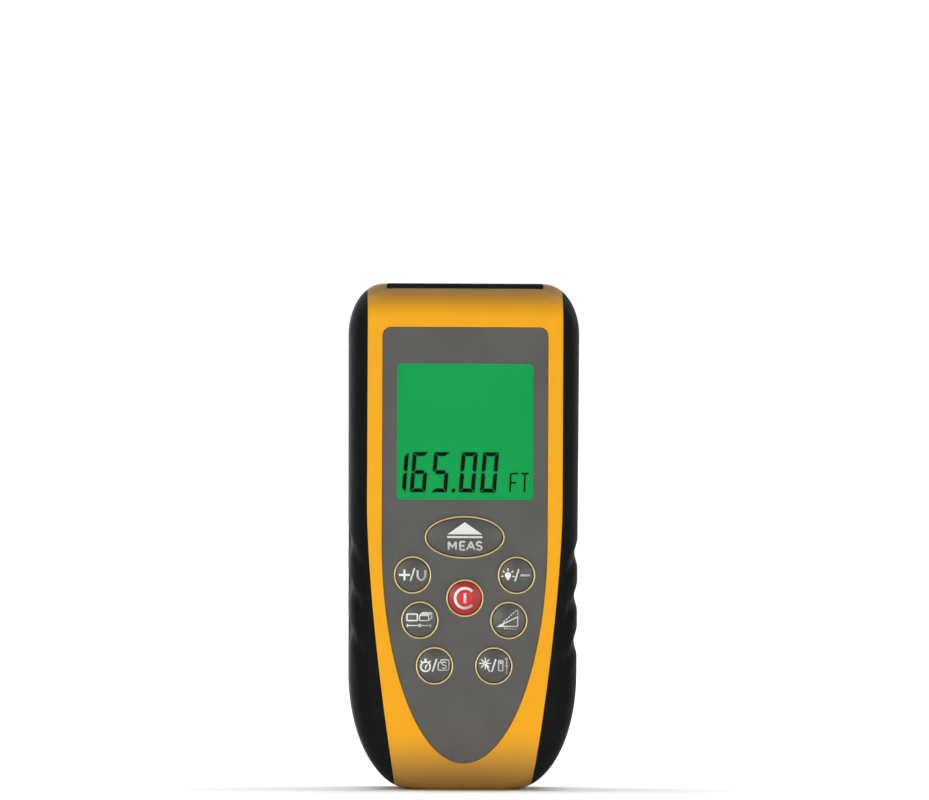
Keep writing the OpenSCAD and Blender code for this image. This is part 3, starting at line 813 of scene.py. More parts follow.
slash = [([(-0.5, -1.4), (0.45, 1.6)], 0.38)]
marks = {
    "measure_key": [([(0, 0.69), (0, 3.5)], (8.1, 0.05)), ([(-4.1, 0.05), (4.1, 0.05)], 0.46),
                    *word("MEAS", [(-3.75, 1.7), (-1.1, 1.2), (0.5, 1.85), (2.8, 1.15)],
                          -2.9, 1.85, 0.42)],
    "plus_units_key": [([(-3.15, 0), (-0.65, 0)], 0.48), ([(-1.9, -1.25), (-1.9, 1.25)], 0.48),
                       *slash, *word("U", [(1.15, 1.8)], -1.1, 2.2, 0.48)],
    "light_minus_key": [(circle((-2.0, 0), 0.4), 0.66), ([(-2.0, -0.5), (-2.0, -1.05)], 0.6),
                        *rays((-2.0, 0.0), 1.05, 1.6, (-10, 40, 90, 140, 190), 0.26),
                        ([(-0.4, -1.4), (0.5, 1.45)], 0.36), ([(0.9, 0), (3.15, 0)], 0.46)],
    "power_key": [(circle((0, 0), 2.3, 42, 318, 44), 0.62), ([(0, -1.15), (0, 1.15)], 0.62)],
    "area_volume_key": [*box_lines(-3.0, -0.1, -0.6, 1.4, 0.3), *box_lines(-0.1, -0.1, 2.0, 1.1, 0.26),
                        ([(-0.1, 1.1), (0.6, 1.75), (2.75, 1.75), (2.75, 0.55), (2.0, -0.1)], 0.26),
                        ([(2.0, 1.1), (2.75, 1.75)], 0.26), ([(0.5, 1.42), (2.4, 1.42)], 0.4),
                        ([(-2.9, -1.25), (-0.2, -1.25)], 0.24), ([(0.1, -1.25), (2.5, -1.25)], 0.24),
                        *[([(x, -1.6), (x, -0.9)], 0.26) for x in (-2.9, -0.2, 0.15, 2.5)]],
    "indirect_key": [([(-2.85, -1.5), (-1.2, -1.0)], (0.1, 0.75)), ([(-2.4, -1.3), (2.05, 0.85)], 0.3),
                     ([(2.05, 0.95), (2.05, -1.5)], 0.32), ([(2.1, -1.38), (-2.4, -1.38)], 0.3),
                     *dashes((-1.3, -0.4), (1.95, 2.55), 6, 0.26),
                     *dashes((2.05, 2.5), (2.05, 1.1), 3, 0.26),
                     *dashes((-1.2, -1.85), (2.1, -2.1), 5, 0.22)],
    "timer_store_key": [(circle((-2.1, -0.2), 1.1), 0.36), ([(-2.1, 0.95), (-2.1, 1.65)], 0.5),
                        *rays((-2.1, -0.2), 1.35, 1.75, (50, 130), 0.36),
                        ([(-2.1, -0.2), (-1.65, 0.25)], 0.3),
                        ([(-2.1, -0.1), (-2.1, -0.8)], 0.26), *slash,
                        ([(0.85, -1.0), (0.85, 0.75), (1.5, 0.75), (1.5, 1.4), (3.35, 1.4),
                          (3.35, -1.0), (0.85, -1.0)], 0.26),
                        *word("S", [(1.75, 0.95)], -0.6, 1.5, 0.28)],
    "laser_reference_key": [*rays((-2.0, 0.6), 0.15, 1.35, range(0, 360, 45), 0.24),
                            *rays((-2.0, 0.6), 0.3, 2.2, (-62,), 0.28), *slash,
                            *box_lines(1.1, -1.1, 2.1, 1.25, 0.26), ([(1.3, 0.75), (1.9, 0.75)], 0.5),
                            ([(3.0, -1.7), (3.0, 1.7)], 0.24),
                            *[([(2.65, z), (3.3, z)], 0.22) for z in (-1.7, 0, 1.7)]],
}

ink = Finish("silver_ink", Metallic=0.1, Roughness=0.45)
speckle = ink.noise(0.00018, 2)
# Painted shade: the silver print is mixed towards grey where less light falls on the key, lower down and to
# the right.
print_painted_shade = ink.node("ShaderNodeAttribute", {"attribute_name": "print_painted_shade"}, out="Fac")
ink.feed(
    Base_Color=ink.mix(print_painted_shade * (0.9 + 0.2 * speckle), rgb(238, 238, 236), rgb(130, 130, 130)),
    Roughness=0.35 + 0.25 * speckle,
    Normal=ink.bump(speckle, 0.000005, 0.5),
)
for name, strokes in marks.items():
    centre, rx, rz = cap_shape[name]
    on_dome = dome_of(centre, rx, rz)
    patches, caps = [], []
    for path, width in strokes:
        loop, ends = ribbon(np.array(path) + centre, width, on_dome, 13 if np.max(width) > 1 else 3)
        patches.append(loop)
        caps += ends
    print_piece = settle(skin(name + "_print", patches, caps, 0.0005))
    points = np.zeros(len(print_piece.data.vertices) * 3)
    print_piece.data.vertices.foreach_get("co", points)
    offset = points.reshape(-1, 3)[:, [0, 2]] / mm - centre
    # The print's painted shade grows towards the bottom of each key, and towards the right on the round
    # keys.
    print_painted_shade = np.clip(0.25 + 0.16 * offset[:, 0] * (rx < 5) - 0.12 * offset[:, 1], 0, 1)
    painted_shade_layer = print_piece.data.attributes.new("print_painted_shade", "FLOAT", "POINT")
    painted_shade_layer.data.foreach_set("value", print_painted_shade.astype(np.float32))
    fit(print_piece, ink, name, "red_key_plastic" if name == "power_key" else "key_plastic")

# The red key carries a lighter red disc under its bar.
disc_turn = np.linspace(0, 2 * np.pi, 61)[None]
disc_r = np.array([0, 0.5, 1.0, 1.5, 1.7, 1.75, 1.75])[:, None]
disc_drop = np.array([0, 0, 0, 0, 0, 0.006, 0.05])[:, None]
centre, rx, rz = cap_shape["power_key"]
x, z = centre[0] + disc_r * np.cos(disc_turn), centre[1] + disc_r * np.sin(disc_turn)
disc_rows = np.stack([x, crown_y(disc_r / rx + 0 * x) - 0.014 + disc_drop, z], -1)
bright_red = cap_finish("bright_red", rgb(220, 2, 8), rgb(232, 6, 12))
disc = settle(skin("power_key_disc", [disc_rows], [disc_rows[-1, :-1]], 0.0005))
fit(disc, bright_red, "power_key", "red_key_plastic")

# ---- Display ----
# A lit liquid crystal cell behind a clear acrylic window. The cell has a green back light, and
# its dark seven-part figures and unit letters stand on the front glass.

lcd_low, lcd_high = box_mm("lcd_module")
digit_z, digit_h, digit_w = 69.3, 9.4, 3.75
stroke_w = 0.95
slant = 0.078
lit_parts = {"1": "bc", "6": "acdefg", "5": "acdfg", "0": "abcdef"}
reading, figure_left = "16500", (-17.45, -12.8, -7.85, -1.4, 3.55)


def slab(name, low, high, radius, bevel):
    """A closed slab with rounded corners in x, z and a narrow bevel round both faces."""
    levels = [(low[1], -bevel), (low[1] + bevel, 0), (high[1] - bevel, 0), (high[1], -bevel)]
    rings = []
    for y, grow in levels:
        outline = oblong(low, high, grow, radius)
        rings.append(np.stack([outline[:, 0], 0 * outline[:, 0] + y, outline[:, 1]], 1))
    return skin(name, [stacked(rings)], [rings[0], rings[-1]])


def lcd_parts():
    """The seven parts of a figure as outlines in its own box, with mitred corners and narrow gaps.
    The two upper posts are written out once, and the other parts are their mirror images."""
    w, h, t, gap = digit_w, digit_h, stroke_w, 0.07
    middle = h / 2
    bar = np.array([(gap, h), (w - gap, h), (w - t - gap, h - t), (t + gap, h - t)])
    post = np.array([(0, h - gap), (0, middle + 0.3 * t + gap), (0.4 * t, middle + gap),
                     (t, middle + t / 2 + gap), (t, h - t - gap)])
    waist = np.array([(t / 2 + gap, middle), (t + gap, middle + t / 2), (w - t - gap, middle + t / 2),
                      (w - t / 2 - gap, middle), (w - t - gap, middle - t / 2), (t + gap, middle - t / 2)])
    across, down = np.array([w, 0]), np.array([0, h])
    right = across + post * [-1, 1]
    return {"a": bar, "d": down + bar * [1, -1], "f": post, "b": right,
            "e": down + post * [1, -1], "c": down + right * [1, -1], "g": waist}


def lid(outline, levels):
    """A closed plate: an x, z outline stacked along y, moved in along its own normals by a given
    inset at each level."""
    along = np.roll(outline, -1, 0) - np.roll(outline, 1, 0)
    normal = np.stack([-along[:, 1], along[:, 0]], 1)
    normal /= np.maximum(np.linalg.norm(normal, axis=1), 1e-9)[:, None]
    rings = []
    for y, inset in levels:
        moved = outline + normal * inset
        rings.append(np.stack([moved[:, 0], 0 * moved[:, 0] + y, moved[:, 1]], 1))
    return [stacked(rings)], [rings[0], rings[-1]]


def on_glass(x, z):
    """y of the display's front glass, which is flat."""
    return lcd_low[1] + 0 * x


patches, caps = [], []
parts = lcd_parts()
figure_levels = [(lcd_low[1] - 0.03, 0), (lcd_low[1] + 0.05, 0)]
for place, figure in zip(figure_left, reading):
    for part in lit_parts[figure]:
        upright = parts[part]
        outline = upright + [place, digit_z] + np.stack([upright[:, 1] * slant, 0 * upright[:, 1]], 1)
        wall, ends = lid(outline, figure_levels)
        patches += wall
        caps += ends
strokes = [([(-3.0, digit_z + 0.45), (-2.15, digit_z + 0.45)], 0.9)]
strokes += word("FT", [(10.6, 1.75), (13.05, 1.75)], digit_z + 0.15, 4.3, 0.42, 0.035)
for path, width in strokes:
    loop, ends = ribbon(path, width, on_glass)
    patches.append(loop)
    caps += ends
figures = settle(skin("lcd_figures", patches, caps, 0.0005))
lcd_black = Finish("lcd_black", Roughness=0.6, Specular_IOR_Level=0.1)
lcd_black.feed(Base_Color=lcd_black.mix(lcd_black.noise(0.0003), rgb(1, 9, 4), rgb(3, 14, 7)))
fit(figures, lcd_black, "housing", "lcd_glass")

lcd_green = Finish("lcd_green", Base_Color=rgb(5, 40, 22), Roughness=0.5, Specular_IOR_Level=0.1,
                   Emission_Strength=0.9)
glow = lcd_green.noise(0.02, 1)
dots = lcd_green.cells(0.00035)
lcd_green.feed(
    Emission_Color=lcd_green.mix(glow.over(0.25, 0.75), rgb(4, 163, 76), rgb(8, 168, 81)),
    Roughness=0.45 + 0.1 * dots,
)
lcd_cell = settle(slab("lcd_cell", lcd_low, lcd_high, 0.6, 0.12), sharp=20)
fit(lcd_cell, lcd_green, "housing", "lcd_glass", "lcd_module")

acrylic = Finish("clear_acrylic", Base_Color=(1, 1, 1, 1), Roughness=0.02, IOR=1.2,
                 Transmission_Weight=1.0, Specular_IOR_Level=0.5)
smear = acrylic.noise(0.006, 3)
acrylic.feed(Roughness=0.01 + 0.03 * smear, Normal=acrylic.bump(smear, 0.00001, 0.15))
lens_high = [window_high[0], panel_y + panel_t, window_high[2]]
window = slab("display_lens", window_low, lens_high, window_round, 0.14)
fit(settle(window, sharp=20), acrylic, "housing", "clear_acrylic", "display_window")

# ---- Grips ----
# Soft black rubber moulded over both sides of the housing. Three finger hollows on each side
# run down towards the strap as shallow creases, and a long crease follows the strap below.

grip_back = 9.0
grip_wall = 1.7
hollows = {"left_grip": (57.0, 47.1, 36.8, 0.55), "right_grip": (55.4, 45.4, 34.9, 0.7)}
hollow_half, hollow_slant, hollow_lean = 3.6, 7.5, 0.12
crease_half, crease_depth, crease_foot, crease_top = 0.55, 0.22, 6, 52
foot_tip, even_top, head_tip = 0.95, 100, 116.3


def back_side(y, z):
    """Half width of the rear half at y and z: the side, turned in by a quarter circle of the
    back corner's radius that ends at the back face."""
    turn = np.clip((y - back_at(z) + back_corner) / back_corner, 0, 1)
    return side_at(z) - back_corner * (1 - arc(turn))


def grip_grid(name):
    """A grip as a grid. Each row at one height runs along the front face from the strap, turns
    round the elliptical corner, and goes back along the side. The hollows are cosine bells
    across their own slanting lines, pushed inwards along the surface normal."""
    spread = np.sin(np.radians(np.linspace(0, 90, 40)))
    z = np.concatenate([foot_tip + (taper_h - foot_tip) * (1 - spread[::-1]),
                        np.linspace(taper_h, even_top, 240)[1:],
                        even_top + (head_tip - even_top) * spread[1:]])[:, None]
    width, front = side_at(z), front_at(z)
    start = np.minimum(strap_at(z) + seam, width - 0.001)
    flat_end = np.maximum(start + 0.15 * (width - start), width - corner_x)
    flat = start + (flat_end - start) * np.linspace(0, 1, 8)[None, :-1]
    first = np.arcsin(np.clip((flat_end - width + corner_x) / corner_x, 0, 1))
    turn = first + (np.pi / 2 - first) * np.linspace(0, 1, 22)[None, :-1]
    back = front + corner_y + (grip_back - seam - front - corner_y) * np.linspace(0, 1, 26)[None]
    x = np.concatenate([flat, width - corner_x + corner_x * np.sin(turn), back_side(back, z)], 1)
    y = np.concatenate([face_at(flat, z), front + corner_y * (1 - np.cos(turn)), back], 1)
    z = z + 0 * x
    around = np.concatenate([0 * flat, np.sin(turn) ** 2, 1 + 0 * back], 1)
    *heights, depth = hollows[name]
    dent = 0 * x
    for height in heights:
        away = z - height + hollow_slant * (1 - around) - hollow_lean * np.clip(y + 4, 0, None)
        bell = np.cos(np.clip(away / hollow_half, -1, 1) * np.pi / 2) ** 2
        dent = np.maximum(dent, depth * bell * (0.25 + 0.75 * around))
    middle = (strap_at(z) + width) / 2 + 0.6
    crease = np.exp(-((x - middle) / crease_half) ** 2) * np.clip((crease_top - z) / 12, 0, 1)
    crease *= np.clip((z - crease_foot) / 8, 0, 1)
    dent += crease_depth * crease
    edge = np.clip(np.minimum(np.arange(x.shape[1]), np.arange(x.shape[1])[::-1]) / 3.0, 0, 1)[None]
    points = np.stack([x, y, z], -1)
    normal = np.cross(np.gradient(points, axis=0), np.gradient(points, axis=1))
    normal /= np.maximum(np.linalg.norm(normal, axis=-1), 1e-9)[..., None]
    points -= normal * (dent * edge)[..., None] * np.sign(normal[len(z) // 2, -5, 0])
    return points * [1 if name == "right_grip" else -1, 1, 1]


def tuck_in(piece):
    """Brings the points of a piece back under the rounded ends of the body, where its tips thin out."""
    points = np.zeros(len(piece.data.vertices) * 3)
    piece.data.vertices.foreach_get("co", points)
    place = points.reshape(-1, 3) / mm
    place[:, 2] = np.clip(place[:, 2], end_at(place[:, 0], False), end_at(place[:, 0], True))
    piece.data.vertices.foreach_set("co", (place * mm).ravel())
    piece.data.update()
    return piece


rubber = Finish("grip_rubber", Roughness=0.6, Specular_IOR_Level=0.14)
pebble = rubber.cells(0.00045)
fine = rubber.noise(0.00018, 2)
bloom = rubber.noise(0.008, 3)
rubber.feed(
    Base_Color=rubber.mix(bloom.over(0.3, 0.75), rgb(4, 8, 7), rgb(9, 14, 12)),
    Roughness=0.52 + 0.12 * pebble + 0.12 * bloom,
    Normal=rubber.bump(pebble + 0.5 * fine, 0.00003, 0.55),
)
for name in hollows:
    grid = grip_grid(name)
    patches = [grid, hem(grid[:, 0], grid[:, 2], 0.05, 0.9), hem(grid[:, -1], grid[:, -2], 0.12, 0.9)]
    grip = tuck_in(settle(skin(name + "_moulding", patches), wall=grip_wall - 0.9))
    fit(grip, rubber, "housing", "grip_rubber", name)

# ---- Rear housing ----
# The rear half of the shell in black ABS. Its outside turns from the sides round to the flat
# back; pockets in the back take the battery door, the tripod bush, the label and four screws.

rear_gap = 0.06
rear_wall = 1.9
under_grip = 1.95


def rear_grid():
    """The rear half as rows at one height each: in from the parting line, out past the grip's
    edge, round the back corner to the back face, and the same way again on the other side."""
    angles = np.radians(np.linspace(0, 90, 46))
    z = np.concatenate([taper_h * (1 - np.cos(angles)), np.linspace(taper_h, length - shoulder_h, 60)[1:-1],
                        length - shoulder_h * (1 - np.sin(np.radians(np.linspace(0, 90, 30))))])[:, None]
    width, back = side_at(z), back_at(z)
    low_y = rear_gap + (grip_back + seam - rear_gap) * np.linspace(0, 1, 9)[None]
    buried = np.maximum(width - under_grip, np.minimum(width, strap_at(z) - seam))
    hidden = np.minimum(buried, back_side(low_y, z))
    start = grip_back + seam + 0 * z
    lip_y = np.minimum(start, back)
    bend = np.maximum(lip_y, back - back_corner)
    rise = lip_y + (bend - lip_y) * np.linspace(0, 1, 3)[None, :-1]
    first = np.arcsin(np.clip((bend - back + back_corner) / back_corner, 0, 1))
    turn = first + (np.pi / 2 - first) * np.linspace(0, 1, 13)[None]
    corner = width - back_corner + back_corner * np.cos(turn)
    across = corner[:, -1:] * np.linspace(1, 0, 12)[None, 1:]
    x = np.concatenate([hidden, back_side(rise, z), corner, across], 1)
    y = np.concatenate([np.minimum(low_y, back), rise, back - back_corner + back_corner * np.sin(turn),
                        back + 0 * across], 1)
    half = np.stack([x, y, z + 0 * x], -1)
    return np.concatenate([half, (half * [-1, 1, 1])[:, -2::-1]], 1)


rear = rear_grid()
rear_skin = skin("rear_housing_shell", [rear], [rear[0], rear[-1]])
door_high = box_mm("battery_door")[1]
latch_low, latch_high = box_mm("door_latch")
bush_low, bush_high = box_mm("tripod_bush")
label_low, label_high = box_mm("rear_label")
door_half = door_high[0] - 1.2
hinge_z, hinge_y, hinge_r = 14.0, 12.9, 1.1
bay_half, bay_low, bay_top = 11.6, 15.6, 66.0
screw_at = [(-19.5, 105), (19.5, 105), (-18.6, 36), (18.6, 36)]
well_r = 2.8


def block_outline(x, z, radius):
    """A rectangle with rounded corners from its span in x and its span in z."""
    return oblong((x[0], z[0]), (x[1], z[1]), 0.0, radius)


pocket_half, pocket_foot, pocket_top = door_half + 0.2, 12.75, door_high[2] + 0.2
notch_half, notch_foot = 5, 65
pocket_floor, bay_floor, notch_floor, hole_floor, label_floor = 12.25, 4, 10.8, 8, back_y - 0.3
bush_hole_r, scoop_r, scoop_half, scoop_y = 4.65, 5.5, 4.5, back_y + 4.5
past_back = 15
door_span = (-pocket_half, pocket_half), (pocket_foot, pocket_top)
cutters = [
    prism("door_pocket", block_outline(*door_span, 0.5), pocket_floor, past_back),
    prism("bay_opening", block_outline((-bay_half, bay_half), (bay_low, bay_top), 0.6),
          bay_floor, past_back),
    prism("latch_notch", block_outline((-notch_half, notch_half), (notch_foot, pocket_top), 0.4),
          notch_floor, past_back),
    prism("bush_hole", oval((0, (bush_low[2] + bush_high[2]) / 2), bush_hole_r, bush_hole_r),
          hole_floor, past_back),
    prism("label_recess", oblong(label_low, label_high, 0.05, 1.0), label_floor, past_back),
]
for at in screw_at:
    cutters.append(prism("screw_well", oval(at, well_r, well_r, 40), hole_floor, past_back))
scoop = oval((scoop_y, pocket_top), scoop_r, scoop_r, 64)
scoop_rings = [np.stack([0 * scoop[:, 0] + x, scoop[:, 0], scoop[:, 1]], 1)
               for x in (-scoop_half, scoop_half)]
cutters.append(skin("finger_scoop", [stacked(scoop_rings)], scoop_rings))
plate_low, plate_high = box_mm("end_plate")
plate_ring = rounded([(plate_low[0], plate_low[1]), (plate_high[0], plate_low[1]),
                      (plate_high[0], plate_high[1]), (plate_low[0], plate_high[1])], 1.2)


def stack_z(name, outline, levels):
    """A closed solid of x, y outlines stacked along z; each level is a height and an inset."""
    rings = []
    centre = outline.mean(0)
    reach = np.abs(outline - centre).max(0)
    for z, inset in levels:
        shrunk = centre + (outline - centre) * (1 - inset / reach)
        rings.append(np.stack([shrunk[:, 0], shrunk[:, 1], 0 * shrunk[:, 0] + z], 1))
    return skin(name, [stacked(rings)], [rings[0], rings[-1]])


cutters.append(stack_z("plate_seat", plate_ring, [(length - 2.65, -0.06), (length + 2, -0.06)]))
rear_housing = settle(rear_skin, cutters, wall=rear_wall)

black = Finish("black_abs", Roughness=0.5, Specular_IOR_Level=0.4)
texture = black.cells(0.0005)
fine = black.noise(0.0002, 3)
cloud = black.noise(0.01, 2)
black.feed(
    Base_Color=black.mix(cloud.over(0.3, 0.7), rgb(26, 27, 28), rgb(34, 35, 36)),
    Roughness=0.44 + 0.16 * texture,
    Normal=black.bump(texture + 0.6 * fine, 0.00003, 0.6),
)
fit(rear_housing, black, "housing", "black_abs", "rear_housing")

# ---- Battery bay and wells ----
# The open tray that holds the two cells, and the tubes that the case screws stand in. They are
# moulded in one with the rear housing.

tray_mouth, tray_bottom = 12.2, 1.0
well_mouth, well_bottom = 12.6, 6.3
tray_t = 0.9


def cup(outline, y_mouth, y_floor):
    """An open tray: an x, z outline carried down from the mouth, rounded into a flat floor."""
    centre = outline.mean(0)
    steps = [(y_mouth, 1.0), (y_floor + 0.6, 1.0), (y_floor + 0.15, 0.985), (y_floor, 0.94)]
    rings = [np.stack([centre[0] + (outline[:, 0] - centre[0]) * s, 0 * outline[:, 0] + y,
                       centre[1] + (outline[:, 1] - centre[1]) * s], 1) for y, s in steps]
    return stacked(rings), rings[-1]


tray_line = block_outline((-bay_half, bay_half), (bay_low, bay_top), 0.6)
tray, tray_floor = cup(tray_line, tray_mouth, tray_bottom)
trays, floors = [tray], [tray_floor]
for at in screw_at:
    rows, ring = cup(oval(at, well_r, well_r, 40), well_mouth, well_bottom)
    trays.append(rows)
    floors.append(ring)
bay = skin("battery_bay", trays, floors)
shell = bay.modifiers.new("wall", "SOLIDIFY")
shell.thickness = tray_t * mm
shell.offset = 1
if bay.data.polygons[0].normal.dot(bay.data.polygons[0].center) < 0:
    bay.data.flip_normals()
# The end wall is lower under the latch, so that the latch can be pressed in.
latch_room = prism("latch_room", block_outline((-5.2, 5.2), (65, 68), 0.4), 11.2, past_back)
fit(settle(bay, [latch_room]), black, "housing", "black_abs")

# ---- Battery door ----
# A flat black ABS door that swings on a round hinge barrel at its lower edge. Three shallow ribs
# help a thumb, and a slot at the top leaves room for the sprung latch.

slot_half = 4.8
slot_z = 64.25
door_corner = 0.7
pin_r = 0.7
rib_half, rib_w, rib_z, rib_pitch = 8, 0.8, 53, 1.9
grip_rib_half, grip_rib_w, grip_rib_z, grip_rib_pitch = 3.6, 0.5, 66.5, 1.1


def bar_x(centre_y, centre_z, radius, half, count=48, bevel=0.12):
    """A round bar along x with bevelled ends."""
    turn = np.linspace(0, 2 * np.pi, count + 1)[None]
    ends = np.array([(-half, radius - bevel), (-half + bevel, radius),
                     (half - bevel, radius), (half, radius - bevel)])
    x, r = ends[:, :1], ends[:, 1:]
    rows = np.stack([x + 0 * turn, centre_y + r * np.cos(turn), centre_z + r * np.sin(turn)], -1)
    return [rows], [rows[0, :-1], rows[-1, :-1]]


door_line = rounded([(-door_half, hinge_z), (door_half, hinge_z), (door_half, door_high[2]),
                     (slot_half, door_high[2]), (slot_half, slot_z), (-slot_half, slot_z),
                     (-slot_half, door_high[2]), (-door_half, door_high[2])], door_corner)
face_y, inner_y = back_y - 0.02, back_y - 1.6
levels = [(inner_y, 0.1), (inner_y + 0.1, 0), (face_y - 0.3, 0), (face_y - 0.1, 0.08), (face_y, 0.3)]
patches, caps = lid(door_line, levels)
for bar in (bar_x(hinge_y, hinge_z, hinge_r, door_half), bar_x(hinge_y, hinge_z, pin_r, door_high[0])):
    patches += bar[0]
    caps += bar[1]
for k in range(5):
    z = rib_z + rib_pitch * k
    rib = rounded([(-rib_half, z), (rib_half, z), (rib_half, z + rib_w), (-rib_half, z + rib_w)], 0.35)
    more, ends = lid(rib, [(face_y - 0.2, 0), (face_y + 0.15, 0), (face_y + 0.3, 0.15)])
    patches += more
    caps += ends
fit(settle(skin("battery_door_plate", patches, caps)), black, "battery_door", "black_abs", "battery_door")

tab = rounded([(latch_low[0], 65.0), (latch_high[0], 65.0), (latch_high[0], latch_high[2]),
               (latch_low[0], latch_high[2])], 0.5)
patches, caps = lid(tab, levels)
root = bar_x(back_y - 0.8, 65.2, 0.8, latch_high[0])
patches += root[0]
caps += root[1]
for k in range(3):
    z = grip_rib_z + grip_rib_pitch * k
    rib = rounded([(-grip_rib_half, z), (grip_rib_half, z), (grip_rib_half, z + grip_rib_w),
                   (-grip_rib_half, z + grip_rib_w)], 0.22)
    more, ends = lid(rib, [(face_y - 0.2, 0), (face_y + 0.15, 0), (face_y + 0.25, 0.1)])
    patches += more
    caps += ends
fit(settle(skin("door_latch_tab", patches, caps)), black, "door_latch", "black_abs", "door_latch")

# ---- End plate and optics windows ----
# A gloss black plate closes the measuring end. A small clear window lets the laser out, and a
# larger dark red filter covers the receiving lens.

laser_low, laser_high = box_mm("laser_window")
laser_at = ((laser_low + laser_high) / 2)[:2]
receiver_low, receiver_high = box_mm("receiver_window")
receiver_at = ((receiver_low + receiver_high) / 2)[:2]
laser_r = (laser_high[0] - laser_low[0]) / 2
receiver_r = (receiver_high[0] - receiver_low[0]) / 2


def bore(name, at, radius, low, high):
    """A round cutter that stands along z from low to high."""
    return stack_z(name, oval(at, radius, radius, 64), [(low, 0), (high, 0)])


plate = stack_z("end_plate_gloss", plate_ring, [(plate_low[2], 0.1), (plate_low[2] + 0.1, 0),
                                               (length - 0.4, 0), (length - 0.12, 0.12), (length, 0.4)])
cutters = [bore("laser_seat", laser_at, laser_r + 0.02, laser_low[2], length + 1),
           bore("laser_hole", laser_at, 2.3, plate_low[2] - 1, length),
           bore("receiver_seat", receiver_at, receiver_r + 0.02, receiver_low[2], length + 1),
           bore("receiver_hole", receiver_at, 5.3, plate_low[2] - 1, length)]
gloss = Finish("black_gloss", Roughness=0.28, Specular_IOR_Level=0.18)
smudge = gloss.noise(0.004, 4)
gloss.feed(
    Base_Color=gloss.mix(smudge, rgb(4, 6, 10), rgb(9, 12, 17)),
    Roughness=0.22 + 0.16 * smudge,
    Normal=gloss.bump(gloss.noise(0.003, 1), 0.000006, 0.3),
)
fit(settle(plate, cutters, sharp=30), gloss, "housing", "black_gloss", "end_plate")

clear = Finish("lens_glass", Base_Color=rgb(236, 244, 255), Roughness=0.01, IOR=1.45,
               Transmission_Weight=1.0, Coat_Weight=0.6, Coat_Roughness=0.02)
clear.feed(Roughness=0.005 + 0.02 * clear.noise(0.003, 2))
filter_red = Finish("filter_glass", Base_Color=rgb(120, 16, 22), Roughness=0.02, IOR=1.5,
                    Transmission_Weight=0.75, Coat_Weight=0.8, Coat_Roughness=0.02)
filter_red.feed(Roughness=0.01 + 0.03 * filter_red.noise(0.003, 2))
for name, at, r, low, glass, where in (
    ("laser_window", laser_at, laser_r, laser_low[2], clear, "lens_glass"),
    ("receiver_window", receiver_at, receiver_r, receiver_low[2], filter_red, "filter_glass"),
):
    levels = [(low + 0.02, 0.08), (low + 0.1, 0), (low + 0.8, 0), (low + 0.9, 0.1)]
    disc = stack_z(name + "_disc", oval(at, r, r, 72), levels)
    fit(settle(disc, sharp=20), glass, "housing", where, name)

# ---- Tripod bush ----
# A turned brass insert with a quarter inch thread, moulded into the back. The thread is a
# triangular wave of the bore's radius that climbs one pitch in every turn.

thread_r, bush_r, thread_pitch, thread_depth = 2.55, 4.55, 1.27, 0.35
bush_z = (bush_low[2] + bush_high[2]) / 2
turn = np.linspace(0, 2 * np.pi, 73)[None]
deep = np.linspace(bush_high[1] - 0.35, bush_low[1] + 0.9, 90)[:, None]
wave = np.abs(((deep / thread_pitch + turn / (2 * np.pi)) % 1) - 0.5) * 2
mouth_r = thread_r + thread_depth + 0.33
lead = np.array([(bush_low[1], bush_r), (bush_high[1] - 0.15, bush_r), (bush_high[1], bush_r - 0.15),
                 (bush_high[1], mouth_r), (bush_high[1] - 0.08, mouth_r - 0.08)])
y = np.concatenate([lead[:, :1] + 0 * turn, deep + 0 * turn, deep[-1:] + 0 * turn])
r = np.concatenate([lead[:, 1:] + 0 * turn, thread_r + thread_depth * wave, 0.2 + 0 * turn])
bush_rows = np.stack([r * np.cos(turn), y, bush_z + r * np.sin(turn)], -1)
bush = skin("tripod_bush_insert", [bush_rows], [bush_rows[0, :-1], bush_rows[-1, :-1]], 0.0005)
brass = Finish("brass", Metallic=1.0, Roughness=0.25)
tarnish = brass.noise(0.0015, 3)
brass.feed(
    Base_Color=brass.mix(tarnish, rgb(196, 158, 88), rgb(226, 192, 120)),
    Roughness=0.2 + 0.2 * tarnish,
    Normal=brass.bump(brass.noise(0.0002, 2), 0.000006, 0.5),
)
fit(settle(bush), brass, "housing", "brass", "tripod_bush")

# ---- Rear label ----
# A plain silver foil label in a shallow recess of the back, with printed rules and blank fields.

foil = Finish("foil_label", Metallic=0.7, Roughness=0.35)
across, up = foil.axis("X"), foil.axis("Z")
rule_z, rule_gap, rule_w, rule_half = 0.0935, 0.0016, 0.00016, 0.0125
line = foil.node("ShaderNodeMath", {"operation": "PINGPONG"}, {0: up - rule_z, 1: rule_gap})
rule = (rule_w - line).over(0.0, 0.00004)
margin = (rule_half - across.math("ABSOLUTE", across)).over(0, 0.0001)
frost = foil.noise(0.0002, 3)
silver = foil.mix(frost, rgb(188, 190, 192), rgb(206, 208, 210))
foil.feed(
    Base_Color=foil.mix(rule * margin, silver, rgb(60, 62, 64)),
    Roughness=0.3 + 0.2 * frost,
    Normal=foil.bump(frost, 0.000005, 0.4),
)
tag = slab("rear_label_foil", [label_low[0] + 0.1, back_y - 0.28, label_low[2] + 0.1],
           [label_high[0] - 0.1, back_y - 0.1, label_high[2] - 0.1], 1.0, 0.05)
fit(settle(tag, sharp=20), foil, "housing", "foil_label", "rear_label")

# ---- Case screws ----
# Four zinc plated pan-head screws with cross slots, deep in the wells of the back. The head is a
# surface of radius and angle: a low dome, less a cross of two tapering slots.

head_r, head_top = 2.3, box_mm("case_screws")[1][1]
dome_h, slot_depth = 0.75, 0.8


